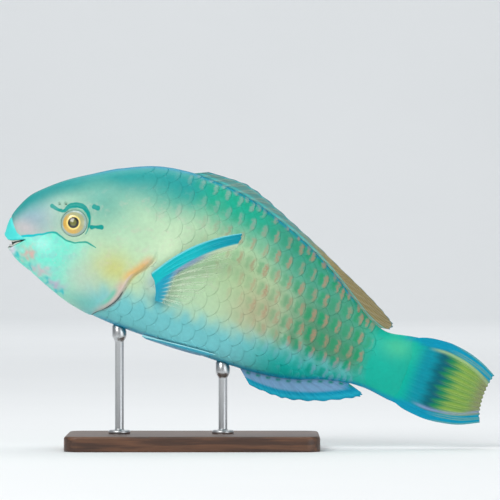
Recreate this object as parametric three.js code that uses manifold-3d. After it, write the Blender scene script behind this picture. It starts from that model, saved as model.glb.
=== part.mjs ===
// A life-size parrotfish, about 30 cm long, held nose up on a plain display stand.
// Millimetres, +Z up. The snout points to -X and the fish's left side faces -Y.
//
// The fish is first shaped level and straight, in a frame of its own:
//   s  along the body from the snout (0) to the tail, on X
//   y  across the body, with the left side at -Y
//   t  up the body, on Z
// Then its tail is swept a little to one side and the whole fish is pitched nose up.

import * as THREE from 'three';
import { mergeVertices } from 'three/addons/utils/BufferGeometryUtils.js';
import Module from 'manifold-3d';

const wasm = await Module();
wasm.setup();

// Driving sizes
const GAP = 0.3; // between pieces that touch
const PITCH = THREE.MathUtils.degToRad(20); // nose up
const TAIL_SWEEP = 9; // how far the tip of the tail is carried sideways
const SWEEP_FROM = 120; // where the sweep of the tail begins
const TAIL_TIP = 303; // total length, from the upper lip to the lower lobe of the tail
const TAIL_CLEARANCE = 14; // from the lowest point of the tail to the floor

// The body at its stations: place along the body, back, belly, half width, height of the widest point
const STATIONS = [
  { at: 'muzzle', s: -1.3, back: 3.0, belly: 3.0, half: 0, mid: 3.0 },
  { at: 'upper lip', s: -0.7, back: 9.0, belly: -2.4, half: 3.9, mid: 3.0 },
  { at: 'nasal bone', s: 1.3, back: 15.2, belly: -6.4, half: 6.4, mid: 4.0 },
  { at: 'chin', s: 5.6, back: 23.6, belly: -11.8, half: 8.7, mid: 5.0 },
  { at: 'mouth corner', s: 12, back: 30.4, belly: -15.8, half: 10.7, mid: 6.0 },
  { at: 'nostril', s: 22, back: 39.0, belly: -19.4, half: 13.0, mid: 7.5 },
  { at: 'eye', s: 36, back: 48.3, belly: -24.9, half: 15.7, mid: 9.0 },
  { at: 'cheek', s: 52, back: 57.9, belly: -29.7, half: 18.4, mid: 10.5 },
  { at: 'nape', s: 70, back: 65.6, belly: -31.6, half: 20.6, mid: 12.0 },
  { at: 'shoulder', s: 88, back: 69.0, belly: -32.1, half: 21.6, mid: 13.0 },
  { at: 'breast', s: 106, back: 69.1, belly: -31.9, half: 21.3, mid: 13.5 },
  { at: 'belly', s: 126, back: 67.0, belly: -31.6, half: 20.0, mid: 13.5 },
  { at: 'vent', s: 148, back: 61.0, belly: -31.2, half: 17.6, mid: 12.5 },
  { at: 'anal fin', s: 168, back: 53.4, belly: -30.0, half: 14.9, mid: 10.0 },
  { at: 'rear flank', s: 188, back: 43.6, belly: -26.6, half: 12.0, mid: 7.0 },
  { at: 'fin ends', s: 206, back: 32.4, belly: -20.3, half: 9.4, mid: 4.0 },
  { at: 'stalk', s: 220, back: 23.8, belly: -17.2, half: 7.6, mid: 2.5 },
  { at: 'waist', s: 232, back: 19.9, belly: -16.5, half: 6.0, mid: 2.0 },
  { at: 'flare', s: 243, back: 21.5, belly: -17.7, half: 4.0, mid: 2.0 },
  { at: 'tail root', s: 252, back: 23.7, belly: -19.1, half: 1.9, mid: 2.3 },
];
const RIB_SPACING = 5.8; // along the body, and at least two ribs from one station to the next
const RIB_POINTS = 30; // round the body
const TIDY = 0.07; // how far a surface may move where crowded small triangles are joined into larger ones
const BACK_RIDGE = 0.28; // how much narrower than an ellipse the back is, behind the head
const BELLY_FULLNESS = 0.14; // how much fuller than an ellipse the belly is

// The free edge of the gill covers, from the throat up to the nape. The head ends here
const GILL_EDGE = [
  [60, -40], [63.5, -30.5], [70, -24], [74.6, -17], [76.6, -9], [78.6, -1],
  [84, 6.5], [87.5, 16], [84, 30], [76, 45], [68, 60], [62, 74],
];
const GILL_FLAP = 0.9; // how far the covers stand proud of the trunk
const GILL_FLAP_WIDTH = 9; // over which the head swells to the flap's edge
// The front and top edge of each gill cover, behind the cheek
const COVER_FRONT = [
  [59.5, -40], [57, -24], [52, -12], [50.4, 0], [51.5, 12], [55, 24],
  [64, 30], [76, 30.5], [90, 29],
];
const COVER_THICKNESS = 3.6;
const STALK_CUT = 222; // where the tail stalk begins

// The mouth
const MOUTH_CORNER = [12.2, -2.2];
const UPPER_LIP_EDGE = [[-4, -3.4], [-0.4, -4.2], [2.4, -5.9], [5.2, -5.3]];
const LOWER_LIP_EDGE = [[7.4, -7.0], [5.4, -9.3], [-4, -11]];
const UPPER_LIP_LINE = [[5.2, -5.3], [2.4, -5.9], [0.1, -4.5]]; // from near the corner to the muzzle's front
const LOWER_LIP_LINE = [[9.6, -4.8], [7.4, -7.0], [6.0, -8.9]];
const JAW_REAR = [[16.5, -9], [20.5, -17], [23, -27]]; // from the mouth's corner down behind the jaw
const LIP_RADIUS = 1.9;
const LIP_SIDES = 7;
const LIP_DEPTH = 1.25; // of the lip's centre line under the skin
const BEAK_INSET = 1.3; // of the tooth plates' outer face behind the lips
const BEAK_THICKNESS = 2.2;
const BEAK_SHOWN = 0.9; // how far the plates stand out past the lips

// The eyes
const EYE = { s: 36.3, t: 16.9, radius: 8.1, depth: 4.2, sunk: 1.3 };
const ORBIT_RIM = 0.75; // radius of the raised rim round each eye
const NOSTRILS = [{ s: 24.2, t: 24.6, radius: 0.8 }, { s: 27.6, t: 26.0, radius: 1.0 }];
const NOSTRIL_DEPTH = 1.4;

// Fins
const MEMBRANE_HALF = 0.28; // half thickness of the skin between the rays
const RAY_HALF_ROOT = 0.85;
const RAY_HALF_TIP = 0.42;
const RAY_WIDTH = 0.42; // share of the space between two rays that one ray's foot takes
const SCALLOP = 0.7; // how far the margin is drawn in between two rays
const ROOT_SUNK = 3.5;

const DORSAL = {
  rays: 19, rows: 3, from: 84, to: 222,
  margin: [
    [100, 72.5], [112, 73.3], [124, 73.5], [136, 70.2], [150, 64.6], [165, 58.3], [180, 51.9],
    [195, 45], [210, 38.3], [222, 32.4], [230.5, 27.6], [234.4, 24.6], [233.4, 21.6],
  ],
};
const ANAL = {
  rays: 12, rows: 3, from: 154, to: 214,
  margin: [
    [166, -37.7], [174, -38.6], [183, -38.8], [191, -38], [201, -35.4], [212, -31.4],
    [222, -26.6], [229, -22.8], [231.2, -20.8], [230.4, -19.4],
  ],
};
const CAUDAL = {
  rays: 13, rows: 6, hollow: 2.6,
  upper: [[248.5, 23], [256, 24.6], [264, 25.9], [272, 26.2], [282, 24.8], [292, 21.7], [301.5, 17]],
  lower: [[248.5, -18.5], [256, -19.9], [264, -21], [272, -21.3], [282, -20], [292, -17.4], [TAIL_TIP, -12.2]],
};
const PECTORAL = {
  rays: 12, rows: 6, tilt: THREE.MathUtils.degToRad(11), lift: 1.7, bow: 4.6,
  rootTop: [89.6, 5], rootBottom: [97.6, -9.2],
  margin: [[130.4, 45.6], [132, 42.6], [131.4, 33], [128.5, 21], [124, 9], [118, -1.5], [111.5, -9.6]],
  padHalf: [8.8, 4.4, 3.3], // along the root, across it, and out from the body
};
const PELVIC = {
  rays: 6, rows: 5, from: 96.5, outerLength: 45, innerLength: 33,
  rootAngle: 12, tipAngle: 24, // round the belly from its middle line, in degrees
  rootSpread: 5, tipSpread: 13, // from the inner to the outer edge, in degrees
  clear: 1.1, tipClear: 1.9, // from the belly to the fin's middle
  padHalf: [5.5, 2.2, 1.7],
};

// The stand
const BASE = { length: 150, width: 86, height: 9, corner: 9, chamfer: 1.2 };
const BASE_CENTRE = { s: 113, t: 10 }; // the point of the fish that stands over the base's middle
const ROD_RADIUS = 2.6;
const ROD_COLLAR = { radius: 6.5, height: 2.2, fillet: 1.1 };
const ROD_SOCKET = 5; // how deep each rod sits in the base
const ROD_CUP = { radius: 4.2, height: 5 }; // the widened top under the belly
const RODS = { front: 82, rear: 147 }; // the places along the body that they meet

// Colours and finishes
const skin = (color, roughness = 0.42) => new THREE.MeshStandardMaterial({ color, roughness, metalness: 0 });
const MATERIALS = {
  head: skin(0x7fc9c4),
  jaw: skin(0x8fe3dc),
  cover: skin(0xa9cf9d),
  trunk: skin(0x6fbfa6),
  stalk: skin(0x17b3a3),
  fin: skin(0x1fa3c4, 0.38),
  paleFin: skin(0x9fb6cf, 0.38),
  eye: new THREE.MeshStandardMaterial({ color: 0xd9b24a, roughness: 0.12, metalness: 0.1 }),
  beak: new THREE.MeshStandardMaterial({ color: 0xdfeee8, roughness: 0.3, metalness: 0 }),
  wood: new THREE.MeshStandardMaterial({ color: 0x4a3527, roughness: 0.5, metalness: 0 }),
  steel: new THREE.MeshStandardMaterial({ color: 0xc4c6c8, roughness: 0.3, metalness: 1 }),
};

// Small maths helpers
const mix = THREE.MathUtils.lerp;
const clamp01 = (x) => THREE.MathUtils.clamp(x, 0, 1);
const smooth = (x, a, b) => THREE.MathUtils.smoothstep(x, a, b);
const curve2 = (points) => new THREE.SplineCurve(points.map(([x, y]) => new THREE.Vector2(x, y)));

// Solids: from a closed geometry to a manifold and back

function solidOf(geometry) {
  const bare = new THREE.BufferGeometry().setAttribute('position', geometry.getAttribute('position').clone());
  if (geometry.index) bare.setIndex(geometry.index.clone());
  const merged = mergeVertices(bare, 1e-4);
  return new wasm.Manifold(new wasm.Mesh({
    numProp: 3,
    vertProperties: new Float32Array(merged.attributes.position.array),
    triVerts: new Uint32Array(merged.index.array),
  }));
}

function geometryOf(solid) {
  const { numProp, vertProperties, triVerts } = solid.getMesh();
  const positions = new Float32Array((vertProperties.length / numProp) * 3);
  for (let i = 0; i < positions.length / 3; i++) {
    positions.set(vertProperties.subarray(i * numProp, i * numProp + 3), i * 3);
  }
  return new THREE.BufferGeometry()
    .setAttribute('position', new THREE.BufferAttribute(positions, 3))
    .setIndex(new THREE.BufferAttribute(new Uint32Array(triVerts), 1));
}

const largest = (solid) => solid.decompose().sort((a, b) => b.volume() - a.volume())[0].simplify(TIDY);
const mirrored = (solid) => solid.mirror([0, 1, 0]);

// A prism with the outline given as (s, t) points, from y = low to y = high
function prism(outline, low = -60, high = 60) {
  const shape = new THREE.Shape(outline.map(([s, t]) => new THREE.Vector2(s, t)));
  const geometry = new THREE.ExtrudeGeometry(shape, { depth: high - low, bevelEnabled: false });
  geometry.rotateX(Math.PI / 2); // the outline's second axis becomes t, and the depth runs to -y
  geometry.translate(0, high, 0);
  return solidOf(geometry);
}

// The outline moved outwards by d, corner by corner along the mean of its two edges' normals
function grown(outline, d) {
  const turn = Math.sign(THREE.ShapeUtils.area(outline.map(([x, y]) => new THREE.Vector2(x, y))));
  const normal = (a, b) => new THREE.Vector2(b[1] - a[1], a[0] - b[0]).normalize().multiplyScalar(turn);
  return outline.map((point, i) => {
    const before = outline[(i + outline.length - 1) % outline.length];
    const after = outline[(i + 1) % outline.length];
    const n1 = normal(before, point);
    const n2 = normal(point, after);
    const sum = n1.clone().add(n2);
    const scale = (2 * d) / Math.max(0.5, sum.lengthSq());
    return [point[0] + sum.x * scale, point[1] + sum.y * scale];
  });
}

// The body

// Values at the stations are joined by a smooth curve. Its parameter grows with the square root
// of the distance between stations, so that the blunt muzzle stays round
const KNOTS = STATIONS.reduce((knots, station, i) => {
  const last = STATIONS[i - 1];
  if (!last) return [0];
  const step = Math.hypot(station.s - last.s, station.back - last.back, station.belly - last.belly);
  return [...knots, knots[i - 1] + Math.sqrt(step)];
}, []);

function tangent(name, i) {
  const value = (k) => STATIONS[k][name];
  if (i === 0) {
    // the outline runs round the muzzle from the belly to the back, so it starts off upright
    const reach = KNOTS[1];
    const rise = (value(1) - value(0)) / reach;
    if (name === 's') return 0;
    if (name === 'mid') return 0;
    return rise * 1.35;
  }
  const slope = (k) => (value(k + 1) - value(k)) / (KNOTS[k + 1] - KNOTS[k]);
  if (i === STATIONS.length - 1) return slope(i - 1);
  const before = KNOTS[i] - KNOTS[i - 1];
  const after = KNOTS[i + 1] - KNOTS[i];
  return (slope(i - 1) * after + slope(i) * before) / (before + after);
}

const TANGENTS = Object.fromEntries(
  ['s', 'back', 'belly', 'half', 'mid'].map((name) => [name, STATIONS.map((_, i) => tangent(name, i))]),
);

function station(u) {
  const passed = KNOTS.filter((knot) => knot <= u).length;
  const k = Math.min(KNOTS.length - 2, Math.max(0, passed - 1));
  const width = KNOTS[k + 1] - KNOTS[k];
  const x = clamp01((u - KNOTS[k]) / width);
  const [x2, x3] = [x * x, x * x * x];
  const at = (name) => (2 * x3 - 3 * x2 + 1) * STATIONS[k][name]
    + (x3 - 2 * x2 + x) * width * TANGENTS[name][k]
    + (3 * x2 - 2 * x3) * STATIONS[k + 1][name]
    + (x3 - x2) * width * TANGENTS[name][k + 1];
  return { s: at('s'), back: at('back'), belly: at('belly'), half: at('half'), mid: at('mid') };
}

function stationAt(s) {
  let [low, high] = [0, KNOTS.at(-1)];
  for (let i = 0; i < 40; i++) {
    const middle = (low + high) / 2;
    if (station(middle).s < s) low = middle;
    else high = middle;
  }
  return station(low);
}

// The powers that narrow the back and fill the belly of a section
const backPower = (s) => 1 + BACK_RIDGE * smooth(s, 40, 110);
const bellyPower = (s) => 1 - BELLY_FULLNESS * smooth(s, 20, 80) * (1 - smooth(s, 200, 245));

// A point of a section: angle 0 is the back, 90 degrees the left side, 180 the belly
function sectionPoint(section, angle) {
  const up = Math.cos(angle);
  const power = up > 0 ? backPower(section.s) : bellyPower(section.s);
  const reach = up > 0 ? section.back - section.mid : section.mid - section.belly;
  return new THREE.Vector3(
    section.s,
    -section.half * Math.sin(angle),
    section.mid + Math.sign(up) * reach * Math.abs(up) ** power,
  );
}

// Half the body's width at a point of its side view
function halfWidth(s, t) {
  const section = stationAt(s);
  const above = t > section.mid;
  const reach = above ? section.back - section.mid : section.mid - section.belly;
  const power = above ? backPower(s) : bellyPower(s);
  const up = clamp01(Math.abs(t - section.mid) / reach) ** (1 / power);
  return section.half * Math.sqrt(Math.max(0, 1 - up * up));
}

// The parameters of the ribs: the muzzle's point first, then an even number from station to station
const RIB_PLACES = [0, ...KNOTS.slice(1).flatMap((knot, i) => {
  const count = Math.max(2, Math.round((STATIONS[i + 1].s - STATIONS[i].s) / RIB_SPACING));
  return Array.from({ length: count }, (_, k) => mix(KNOTS[i], knot, (k + 1) / count));
})];
const RIBS = RIB_PLACES.length - 1;

const gillCurve = curve2(GILL_EDGE).getPoints(60);

// How far a point lies in front of the gill covers' free edge, along the body
function aheadOfGill(s, t) {
  const next = gillCurve.findIndex((p) => p.y > t);
  const [a, b] = [gillCurve[Math.max(0, next - 1)], gillCurve[Math.max(0, next)]];
  const share = b.y > a.y ? clamp01((t - a.y) / (b.y - a.y)) : 0;
  return mix(a.x, b.x, share) - s;
}

function flap(s, t) {
  const ahead = aheadOfGill(s, t);
  if (ahead > GILL_FLAP_WIDTH * 2) return 0;
  return GILL_FLAP * (1 - smooth(ahead, 0, GILL_FLAP_WIDTH));
}

// The whole body as one closed skin, moved out by `offset` along its normals
function bodyGeometry({ offset = 0, withFlap = false } = {}) {
  const positions = [];
  const index = [];
  const point = (i, j) => 1 + (i - 1) * RIB_POINTS + (j % RIB_POINTS);
  const muzzle = station(0);
  positions.push(muzzle.s, 0, muzzle.mid);
  for (let i = 1; i <= RIBS; i++) {
    const section = station(RIB_PLACES[i]);
    for (let j = 0; j < RIB_POINTS; j++) {
      const angle = (2 * Math.PI * j) / RIB_POINTS;
      const p = sectionPoint(section, angle);
      if (withFlap) p.y -= flap(p.x, p.z) * Math.sin(angle);
      positions.push(p.x, p.y, p.z);
    }
  }
  const end = station(KNOTS.at(-1));
  positions.push(end.s, 0, end.mid);
  const last = positions.length / 3 - 1;
  for (let j = 0; j < RIB_POINTS; j++) {
    index.push(0, point(1, j + 1), point(1, j));
    index.push(last, point(RIBS, j), point(RIBS, j + 1));
  }
  for (let i = 1; i < RIBS; i++) {
    for (let j = 0; j < RIB_POINTS; j++) {
      const [a, b, c, d] = [point(i, j), point(i, j + 1), point(i + 1, j + 1), point(i + 1, j)];
      index.push(a, c, d, a, b, c);
    }
  }
  const geometry = new THREE.BufferGeometry()
    .setAttribute('position', new THREE.Float32BufferAttribute(positions, 3))
    .setIndex(index);
  if (offset) {
    geometry.computeVertexNormals();
    const { position, normal } = geometry.attributes;
    for (let i = 0; i < position.count; i++) {
      position.setXYZ(
        i,
        position.getX(i) + offset * normal.getX(i),
        position.getY(i) + offset * normal.getY(i),
        position.getZ(i) + offset * normal.getZ(i),
      );
    }
    geometry.deleteAttribute('normal');
  }
  return geometry;
}

const body = (options) => solidOf(bodyGeometry(options));

// The head: lips, orbits and nostrils, then its parts

// A lip is a roll that follows one edge of the mouth from one corner round the muzzle to the other
function lip(edge, side) {
  const rim = curve2(edge);
  const half = Array.from({ length: 7 }, (_, i) => rim.getPoint(i / 6));
  const at = (p, sign) => {
    const t = p.y + side * LIP_DEPTH;
    return new THREE.Vector3(p.x + LIP_DEPTH * 0.6, sign * Math.max(0, halfWidth(p.x + 0.4, t) - LIP_DEPTH), t);
  };
  const left = half.map((p) => at(p, -1));
  const right = half.map((p) => at(p, 1)).reverse();
  const path = new THREE.CatmullRomCurve3([...left, ...right], false, 'centripetal');
  const section = new THREE.Shape(Array.from({ length: LIP_SIDES }, (_, i) => new THREE.Vector2(
    LIP_RADIUS * Math.cos((2 * i * Math.PI) / LIP_SIDES),
    LIP_RADIUS * Math.sin((2 * i * Math.PI) / LIP_SIDES),
  )));
  return solidOf(new THREE.ExtrudeGeometry(section, { steps: 18, extrudePath: path, bevelEnabled: false }));
}

// Turns a shape made round the Y axis so that its axis follows the skin's normal, and sets it there
function onSkin(geometry, s, t, sunk = 0) {
  const step = 0.5;
  const y = halfWidth(s, t);
  const normal = new THREE.Vector3(
    -(halfWidth(s + step, t) - halfWidth(s - step, t)) / (2 * step),
    1,
    -(halfWidth(s, t + step) - halfWidth(s, t - step)) / (2 * step),
  ).normalize();
  geometry.applyQuaternion(new THREE.Quaternion().setFromUnitVectors(new THREE.Vector3(0, 1, 0), normal));
  return solidOf(geometry.translate(s - normal.x * sunk, y - normal.y * sunk, t - normal.z * sunk));
}

function eyeball(extra = 0) {
  const geometry = new THREE.SphereGeometry(1, 20, 10);
  geometry.scale(EYE.radius + extra, EYE.depth + extra, EYE.radius + extra);
  return onSkin(geometry, EYE.s, EYE.t, EYE.sunk);
}

function orbitRim() {
  const ring = new THREE.TorusGeometry(EYE.radius + ORBIT_RIM * 0.6, ORBIT_RIM, 5, 20);
  ring.rotateX(Math.PI / 2);
  return onSkin(ring, EYE.s, EYE.t, 0.15);
}

function nostril({ s, t, radius }) {
  return onSkin(new THREE.CylinderGeometry(radius, radius * 0.7, NOSTRIL_DEPTH * 2, 8), s, t);
}

const both = (solid) => [solid, mirrored(solid)];

function headParts() {
  const headRegion = prism([...gillCurve.map((p) => [p.x, p.y]), [-20, 74], [-20, -40]]);
  const raised = body({ withFlap: true }).add(lip([MOUTH_CORNER, ...UPPER_LIP_LINE], 1));
  const lipped = raised.add(lip([MOUTH_CORNER, ...LOWER_LIP_LINE], -1));
  const rimmed = both(orbitRim()).reduce((solid, rim) => solid.add(rim), lipped.intersect(headRegion));

  const sockets = both(eyeball(GAP));
  const pits = NOSTRILS.flatMap((place) => both(nostril(place)));
  const mouth = prism([...UPPER_LIP_EDGE, MOUTH_CORNER, ...LOWER_LIP_EDGE]);
  const open = [...sockets, ...pits, mouth].reduce((solid, cut) => solid.subtract(cut), rimmed);

  // the tooth plates are bands of the muzzle's own shape, set behind the lips
  const band = (from, to) => body({ offset: -from }).subtract(body({ offset: -to }));
  const upperPlate = [
    [-6, 0.6], [8, 1.6], [10.4, -2.0], [5.6, -5.3 - BEAK_SHOWN], [2.2, -5.9 - BEAK_SHOWN], [-6, -4.4 - BEAK_SHOWN],
  ];
  const lowerPlate = [
    [0, -7.7 + BEAK_SHOWN], [5.2, -9.1 + BEAK_SHOWN * 1.6], [7.8, -7 + BEAK_SHOWN], [10.8, -3.9],
    [12.4, -5.4], [11, -11.4], [7.6, -13.4], [0, -14],
  ];
  const plates = band(BEAK_INSET, BEAK_INSET + BEAK_THICKNESS);
  const pocket = band(BEAK_INSET - GAP, BEAK_INSET + BEAK_THICKNESS + GAP);
  const upperBeak = largest(plates.intersect(prism(upperPlate)));
  const lowerBeak = largest(plates.intersect(prism(lowerPlate)).subtract(prism(grown(upperPlate, GAP))));
  const muzzled = open
    .subtract(pocket.intersect(prism(grown(upperPlate, GAP))))
    .subtract(pocket.intersect(prism(grown(lowerPlate, GAP))));

  const jawRegion = [MOUTH_CORNER, ...JAW_REAR, [-12, -27], [-12, -7.4], [4.6, -7.2]];
  const jaw = largest(muzzled.intersect(prism(jawRegion)));
  const skull = muzzled.subtract(prism(grown(jawRegion, GAP)));

  const coverRegion = [...curve2(COVER_FRONT).getPoints(24).map((p) => [p.x, p.y]), [100, -40]];
  const shell = body({ offset: -COVER_THICKNESS });
  const covers = skull.intersect(prism(coverRegion)).subtract(shell);
  const cover = largest(covers.intersect(prism([[0, -50], [120, -50], [120, 90], [0, 90]], -60, -1)));
  const coverPocket = prism(grown(coverRegion, GAP)).subtract(body({ offset: -COVER_THICKNESS - GAP }));

  return {
    head: largest(skull.subtract(coverPocket)),
    lower_jaw: jaw,
    beak_upper: upperBeak,
    beak_lower: lowerBeak,
    gill_cover_left: cover,
    gill_cover_right: mirrored(cover),
    eye_left: mirrored(eyeball()),
    eye_right: eyeball(),
  };
}

function trunkParts() {
  const ahead = prism([...gillCurve.map((p) => [p.x + GAP * 1.2, p.y]), [-20, 74], [-20, -40]]);
  const behind = body().subtract(ahead);
  const tailwards = (s) => prism([[s, -60], [320, -60], [320, 90], [s, 90]]);
  return {
    trunk: largest(behind.subtract(tailwards(STALK_CUT - GAP / 2))),
    tail_stalk: largest(behind.intersect(tailwards(STALK_CUT + GAP / 2))),
  };
}

// Fins

// The columns across a fin: each ray has its crest and two feet, and the skin lies between the feet
function finColumns(rays) {
  const columns = [];
  for (let k = 0; k < rays; k++) {
    const crest = k / (rays - 1);
    const foot = RAY_WIDTH / 2 / (rays - 1);
    if (k > 0) columns.push({ u: crest - foot, crest: 0, scallop: 0.7 });
    columns.push({ u: crest, crest: 1, scallop: 0 });
    if (k < rays - 1) columns.push({ u: crest + foot, crest: 0, scallop: 0.7 });
  }
  return columns;
}

// A closed fin: `at(u, v)` is its middle surface, with u across the rays and v from root to margin,
// and `out(u, v)` the unit direction of its thickness. Both faces are split into triangles alike
function fin({ rays, rows, at, out, rootHalf = RAY_HALF_ROOT, tipHalf = RAY_HALF_TIP, scallop = SCALLOP }) {
  const columns = finColumns(rays);
  const faces = [[], []];
  columns.forEach(({ u, crest, scallop: drawn }) => {
    for (let r = 0; r <= rows; r++) {
      const along = r / rows;
      const length = at(u, 1).distanceTo(at(u, 0));
      const v = along * (1 - (scallop * drawn) / Math.max(length, 1));
      const rayHalf = mix(rootHalf, tipHalf, v);
      const half = crest ? rayHalf : Math.max(MEMBRANE_HALF, mix(rootHalf * 0.75, MEMBRANE_HALF, clamp01(v * 4)));
      const p = at(u, v);
      const n = out(u, v).multiplyScalar(half);
      faces[0].push(p.clone().add(n));
      faces[1].push(p.clone().sub(n));
    }
  });
  const count = columns.length * (rows + 1);
  const id = (face, c, r) => face * count + c * (rows + 1) + r;
  const index = [];
  for (let c = 0; c < columns.length - 1; c++) {
    for (let r = 0; r < rows; r++) {
      const quad = (f) => [id(f, c, r), id(f, c + 1, r), id(f, c + 1, r + 1), id(f, c, r + 1)];
      const [a, b, d, e] = quad(0);
      index.push(a, b, d, a, d, e);
      const [a2, b2, d2, e2] = quad(1);
      index.push(a2, d2, b2, a2, e2, d2);
    }
  }
  const wall = (p, q, f1 = 0, f2 = 1) => {
    const [a, b] = [id(f1, ...p), id(f1, ...q)];
    const [c, d] = [id(f2, ...q), id(f2, ...p)];
    index.push(a, c, b, a, d, c);
  };
  for (let c = 0; c < columns.length - 1; c++) {
    wall([c, 0], [c + 1, 0]);
    wall([c + 1, rows], [c, rows]);
  }
  for (let r = 0; r < rows; r++) {
    wall([columns.length - 1, r], [columns.length - 1, r + 1]);
    wall([0, r + 1], [0, r]);
  }
  const geometry = new THREE.BufferGeometry()
    .setAttribute('position', new THREE.Float32BufferAttribute(faces.flat().flatMap((p) => [p.x, p.y, p.z]), 3))
    .setIndex(index);
  const made = solidOf(geometry);
  if (made.volume() > 0) return made;
  for (let i = 0; i < index.length; i += 3) [index[i + 1], index[i + 2]] = [index[i + 2], index[i + 1]];
  return solidOf(geometry.setIndex(index));
}

const sideways = () => new THREE.Vector3(0, 1, 0);

// A fin of the middle line, folded back: its rays run from a root sunk in the body to the margin
function medianFin({ rays, rows, from, to, margin }, edge, sunk) {
  const rim = curve2(margin);
  const at = (u, v) => {
    const s = mix(from, to, u);
    const root = new THREE.Vector2(s, stationAt(s)[edge] - sunk);
    const p = root.lerp(rim.getPoint(u), v);
    return new THREE.Vector3(p.x, 0, p.y);
  };
  return fin({ rays, rows, at, out: sideways });
}

function caudalFin() {
  const [upper, lower] = [curve2(CAUDAL.upper), curve2(CAUDAL.lower)];
  const at = (u, v) => {
    const p = lower.getPoint(v).lerp(upper.getPoint(v), u);
    return new THREE.Vector3(p.x - CAUDAL.hollow * 4 * u * (1 - u) * v * v, 0, p.y);
  };
  return fin({ rays: CAUDAL.rays, rows: CAUDAL.rows, at, out: sideways, rootHalf: 1.5 });
}

// Unit normal of a surface at(u, v), by differences
function normalOf(at) {
  const step = 0.01;
  return (u, v) => {
    const du = at(Math.min(1, u + step), v).sub(at(Math.max(0, u - step), v));
    const dv = at(u, Math.min(1, v + step)).sub(at(u, Math.max(0, v - step)));
    return du.cross(dv).normalize();
  };
}

function pectoralFin() {
  const { rays, rows, tilt, lift, bow, rootTop, rootBottom, margin, padHalf } = PECTORAL;
  const rim = curve2(margin);
  const at = (u, v) => {
    const root = new THREE.Vector2(mix(rootTop[0], rootBottom[0], u), mix(rootTop[1], rootBottom[1], u));
    const way = rim.getPoint(u).sub(root);
    const side = new THREE.Vector2(-way.y, way.x).normalize().multiplyScalar(bow * (1 - u) * 4 * v * (1 - v));
    const reach = way.length() * v;
    const p = root.clone().addScaledVector(way, v).add(side);
    return new THREE.Vector3(p.x, halfWidth(root.x, root.y) + lift + Math.tan(tilt) * reach, p.y);
  };
  const blade = fin({ rays, rows, at, out: normalOf(at), rootHalf: 1.0 });
  const pad = new THREE.SphereGeometry(1, 14, 7);
  pad.scale(padHalf[0], padHalf[2], padHalf[1]);
  pad.rotateY(Math.atan2(rootTop[1] - rootBottom[1], rootBottom[0] - rootTop[0]));
  const centre = [(rootTop[0] + rootBottom[0]) / 2 - 1, (rootTop[1] + rootBottom[1]) / 2 - 0.4];
  pad.translate(centre[0], halfWidth(...centre), centre[1]);
  return blade.add(solidOf(pad));
}

function pelvicFin() {
  const { rays, rows, from, outerLength, innerLength, rootAngle, tipAngle, rootSpread, tipSpread } = PELVIC;
  const degrees = THREE.MathUtils.degToRad;
  // a point outside the belly: place along the body, angle round it from below, distance from the skin
  const outside = (s, around, away) => {
    const section = stationAt(s);
    const at = (a) => sectionPoint(section, -(Math.PI - degrees(a)));
    const p = at(around);
    const along = at(around + 1).sub(at(around - 1));
    const normal = new THREE.Vector3(0, -along.z, along.y).normalize();
    if (normal.z > 0) normal.negate();
    return p.addScaledVector(normal, away);
  };
  const at = (u, v) => {
    const s = from + mix(0, 3, 1 - u) + mix(innerLength, outerLength, u) * v;
    const around = mix(rootAngle, tipAngle, v) + (u - 0.5) * mix(rootSpread, tipSpread, Math.sin(v * 2.2));
    return outside(s, around, mix(PELVIC.clear, PELVIC.tipClear, v));
  };
  const blade = fin({ rays, rows, at, out: normalOf(at), rootHalf: 0.7 });
  const pad = new THREE.SphereGeometry(1, 10, 6);
  pad.scale(...PELVIC.padHalf);
  const root = outside(from + 2, rootAngle, 0);
  pad.translate(root.x, root.y, root.z);
  return blade.add(solidOf(pad));
}

function finParts() {
  const clear = body({ offset: GAP });
  const rooted = (solid) => largest(solid.subtract(clear));
  const right = rooted(pectoralFin());
  const pelvic = rooted(pelvicFin());
  return {
    dorsal_fin: rooted(medianFin(DORSAL, 'back', ROOT_SUNK)),
    anal_fin: rooted(medianFin(ANAL, 'belly', -ROOT_SUNK)),
    caudal_fin: rooted(caudalFin()),
    pectoral_fin_right: right,
    pectoral_fin_left: mirrored(right),
    pelvic_fin_right: pelvic,
    pelvic_fin_left: mirrored(pelvic),
  };
}

// The fish's place on the stand

// The tail is swept sideways, more and more towards its tip
function swept(geometry) {
  const { position } = geometry.attributes;
  for (let i = 0; i < position.count; i++) {
    const share = Math.max(0, (position.getX(i) - SWEEP_FROM) / (TAIL_TIP - SWEEP_FROM));
    position.setY(i, position.getY(i) + TAIL_SWEEP * share * share);
  }
  return geometry;
}

const lowestTail = Math.max(...curve2(CAUDAL.lower).getPoints(30)
  .map((p) => p.x * Math.sin(PITCH) - p.y * Math.cos(PITCH)));
const fish = new THREE.Group();
fish.rotation.y = PITCH;
fish.position.set(
  -(BASE_CENTRE.s * Math.cos(PITCH) + BASE_CENTRE.t * Math.sin(PITCH)),
  0,
  lowestTail + TAIL_CLEARANCE,
);
fish.updateMatrixWorld(true);

const FINISHES = {
  head: 'head', lower_jaw: 'jaw', gill_cover_left: 'cover', gill_cover_right: 'cover',
  trunk: 'trunk', tail_stalk: 'stalk', beak_upper: 'beak', beak_lower: 'beak',
  eye_left: 'eye', eye_right: 'eye', dorsal_fin: 'paleFin', anal_fin: 'paleFin', caudal_fin: 'fin',
  pectoral_fin_left: 'fin', pectoral_fin_right: 'fin', pelvic_fin_left: 'fin', pelvic_fin_right: 'fin',
};

function named(name, geometry, material) {
  const mesh = new THREE.Mesh(geometry, material);
  mesh.name = name;
  return mesh;
}

Object.entries({ ...headParts(), ...trunkParts(), ...finParts() }).forEach(([name, solid]) => {
  fish.add(named(name, swept(geometryOf(solid)), MATERIALS[FINISHES[name]]));
});

// The stand: a base with rounded corners, and two rods that end in cups fitted to the belly

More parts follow.
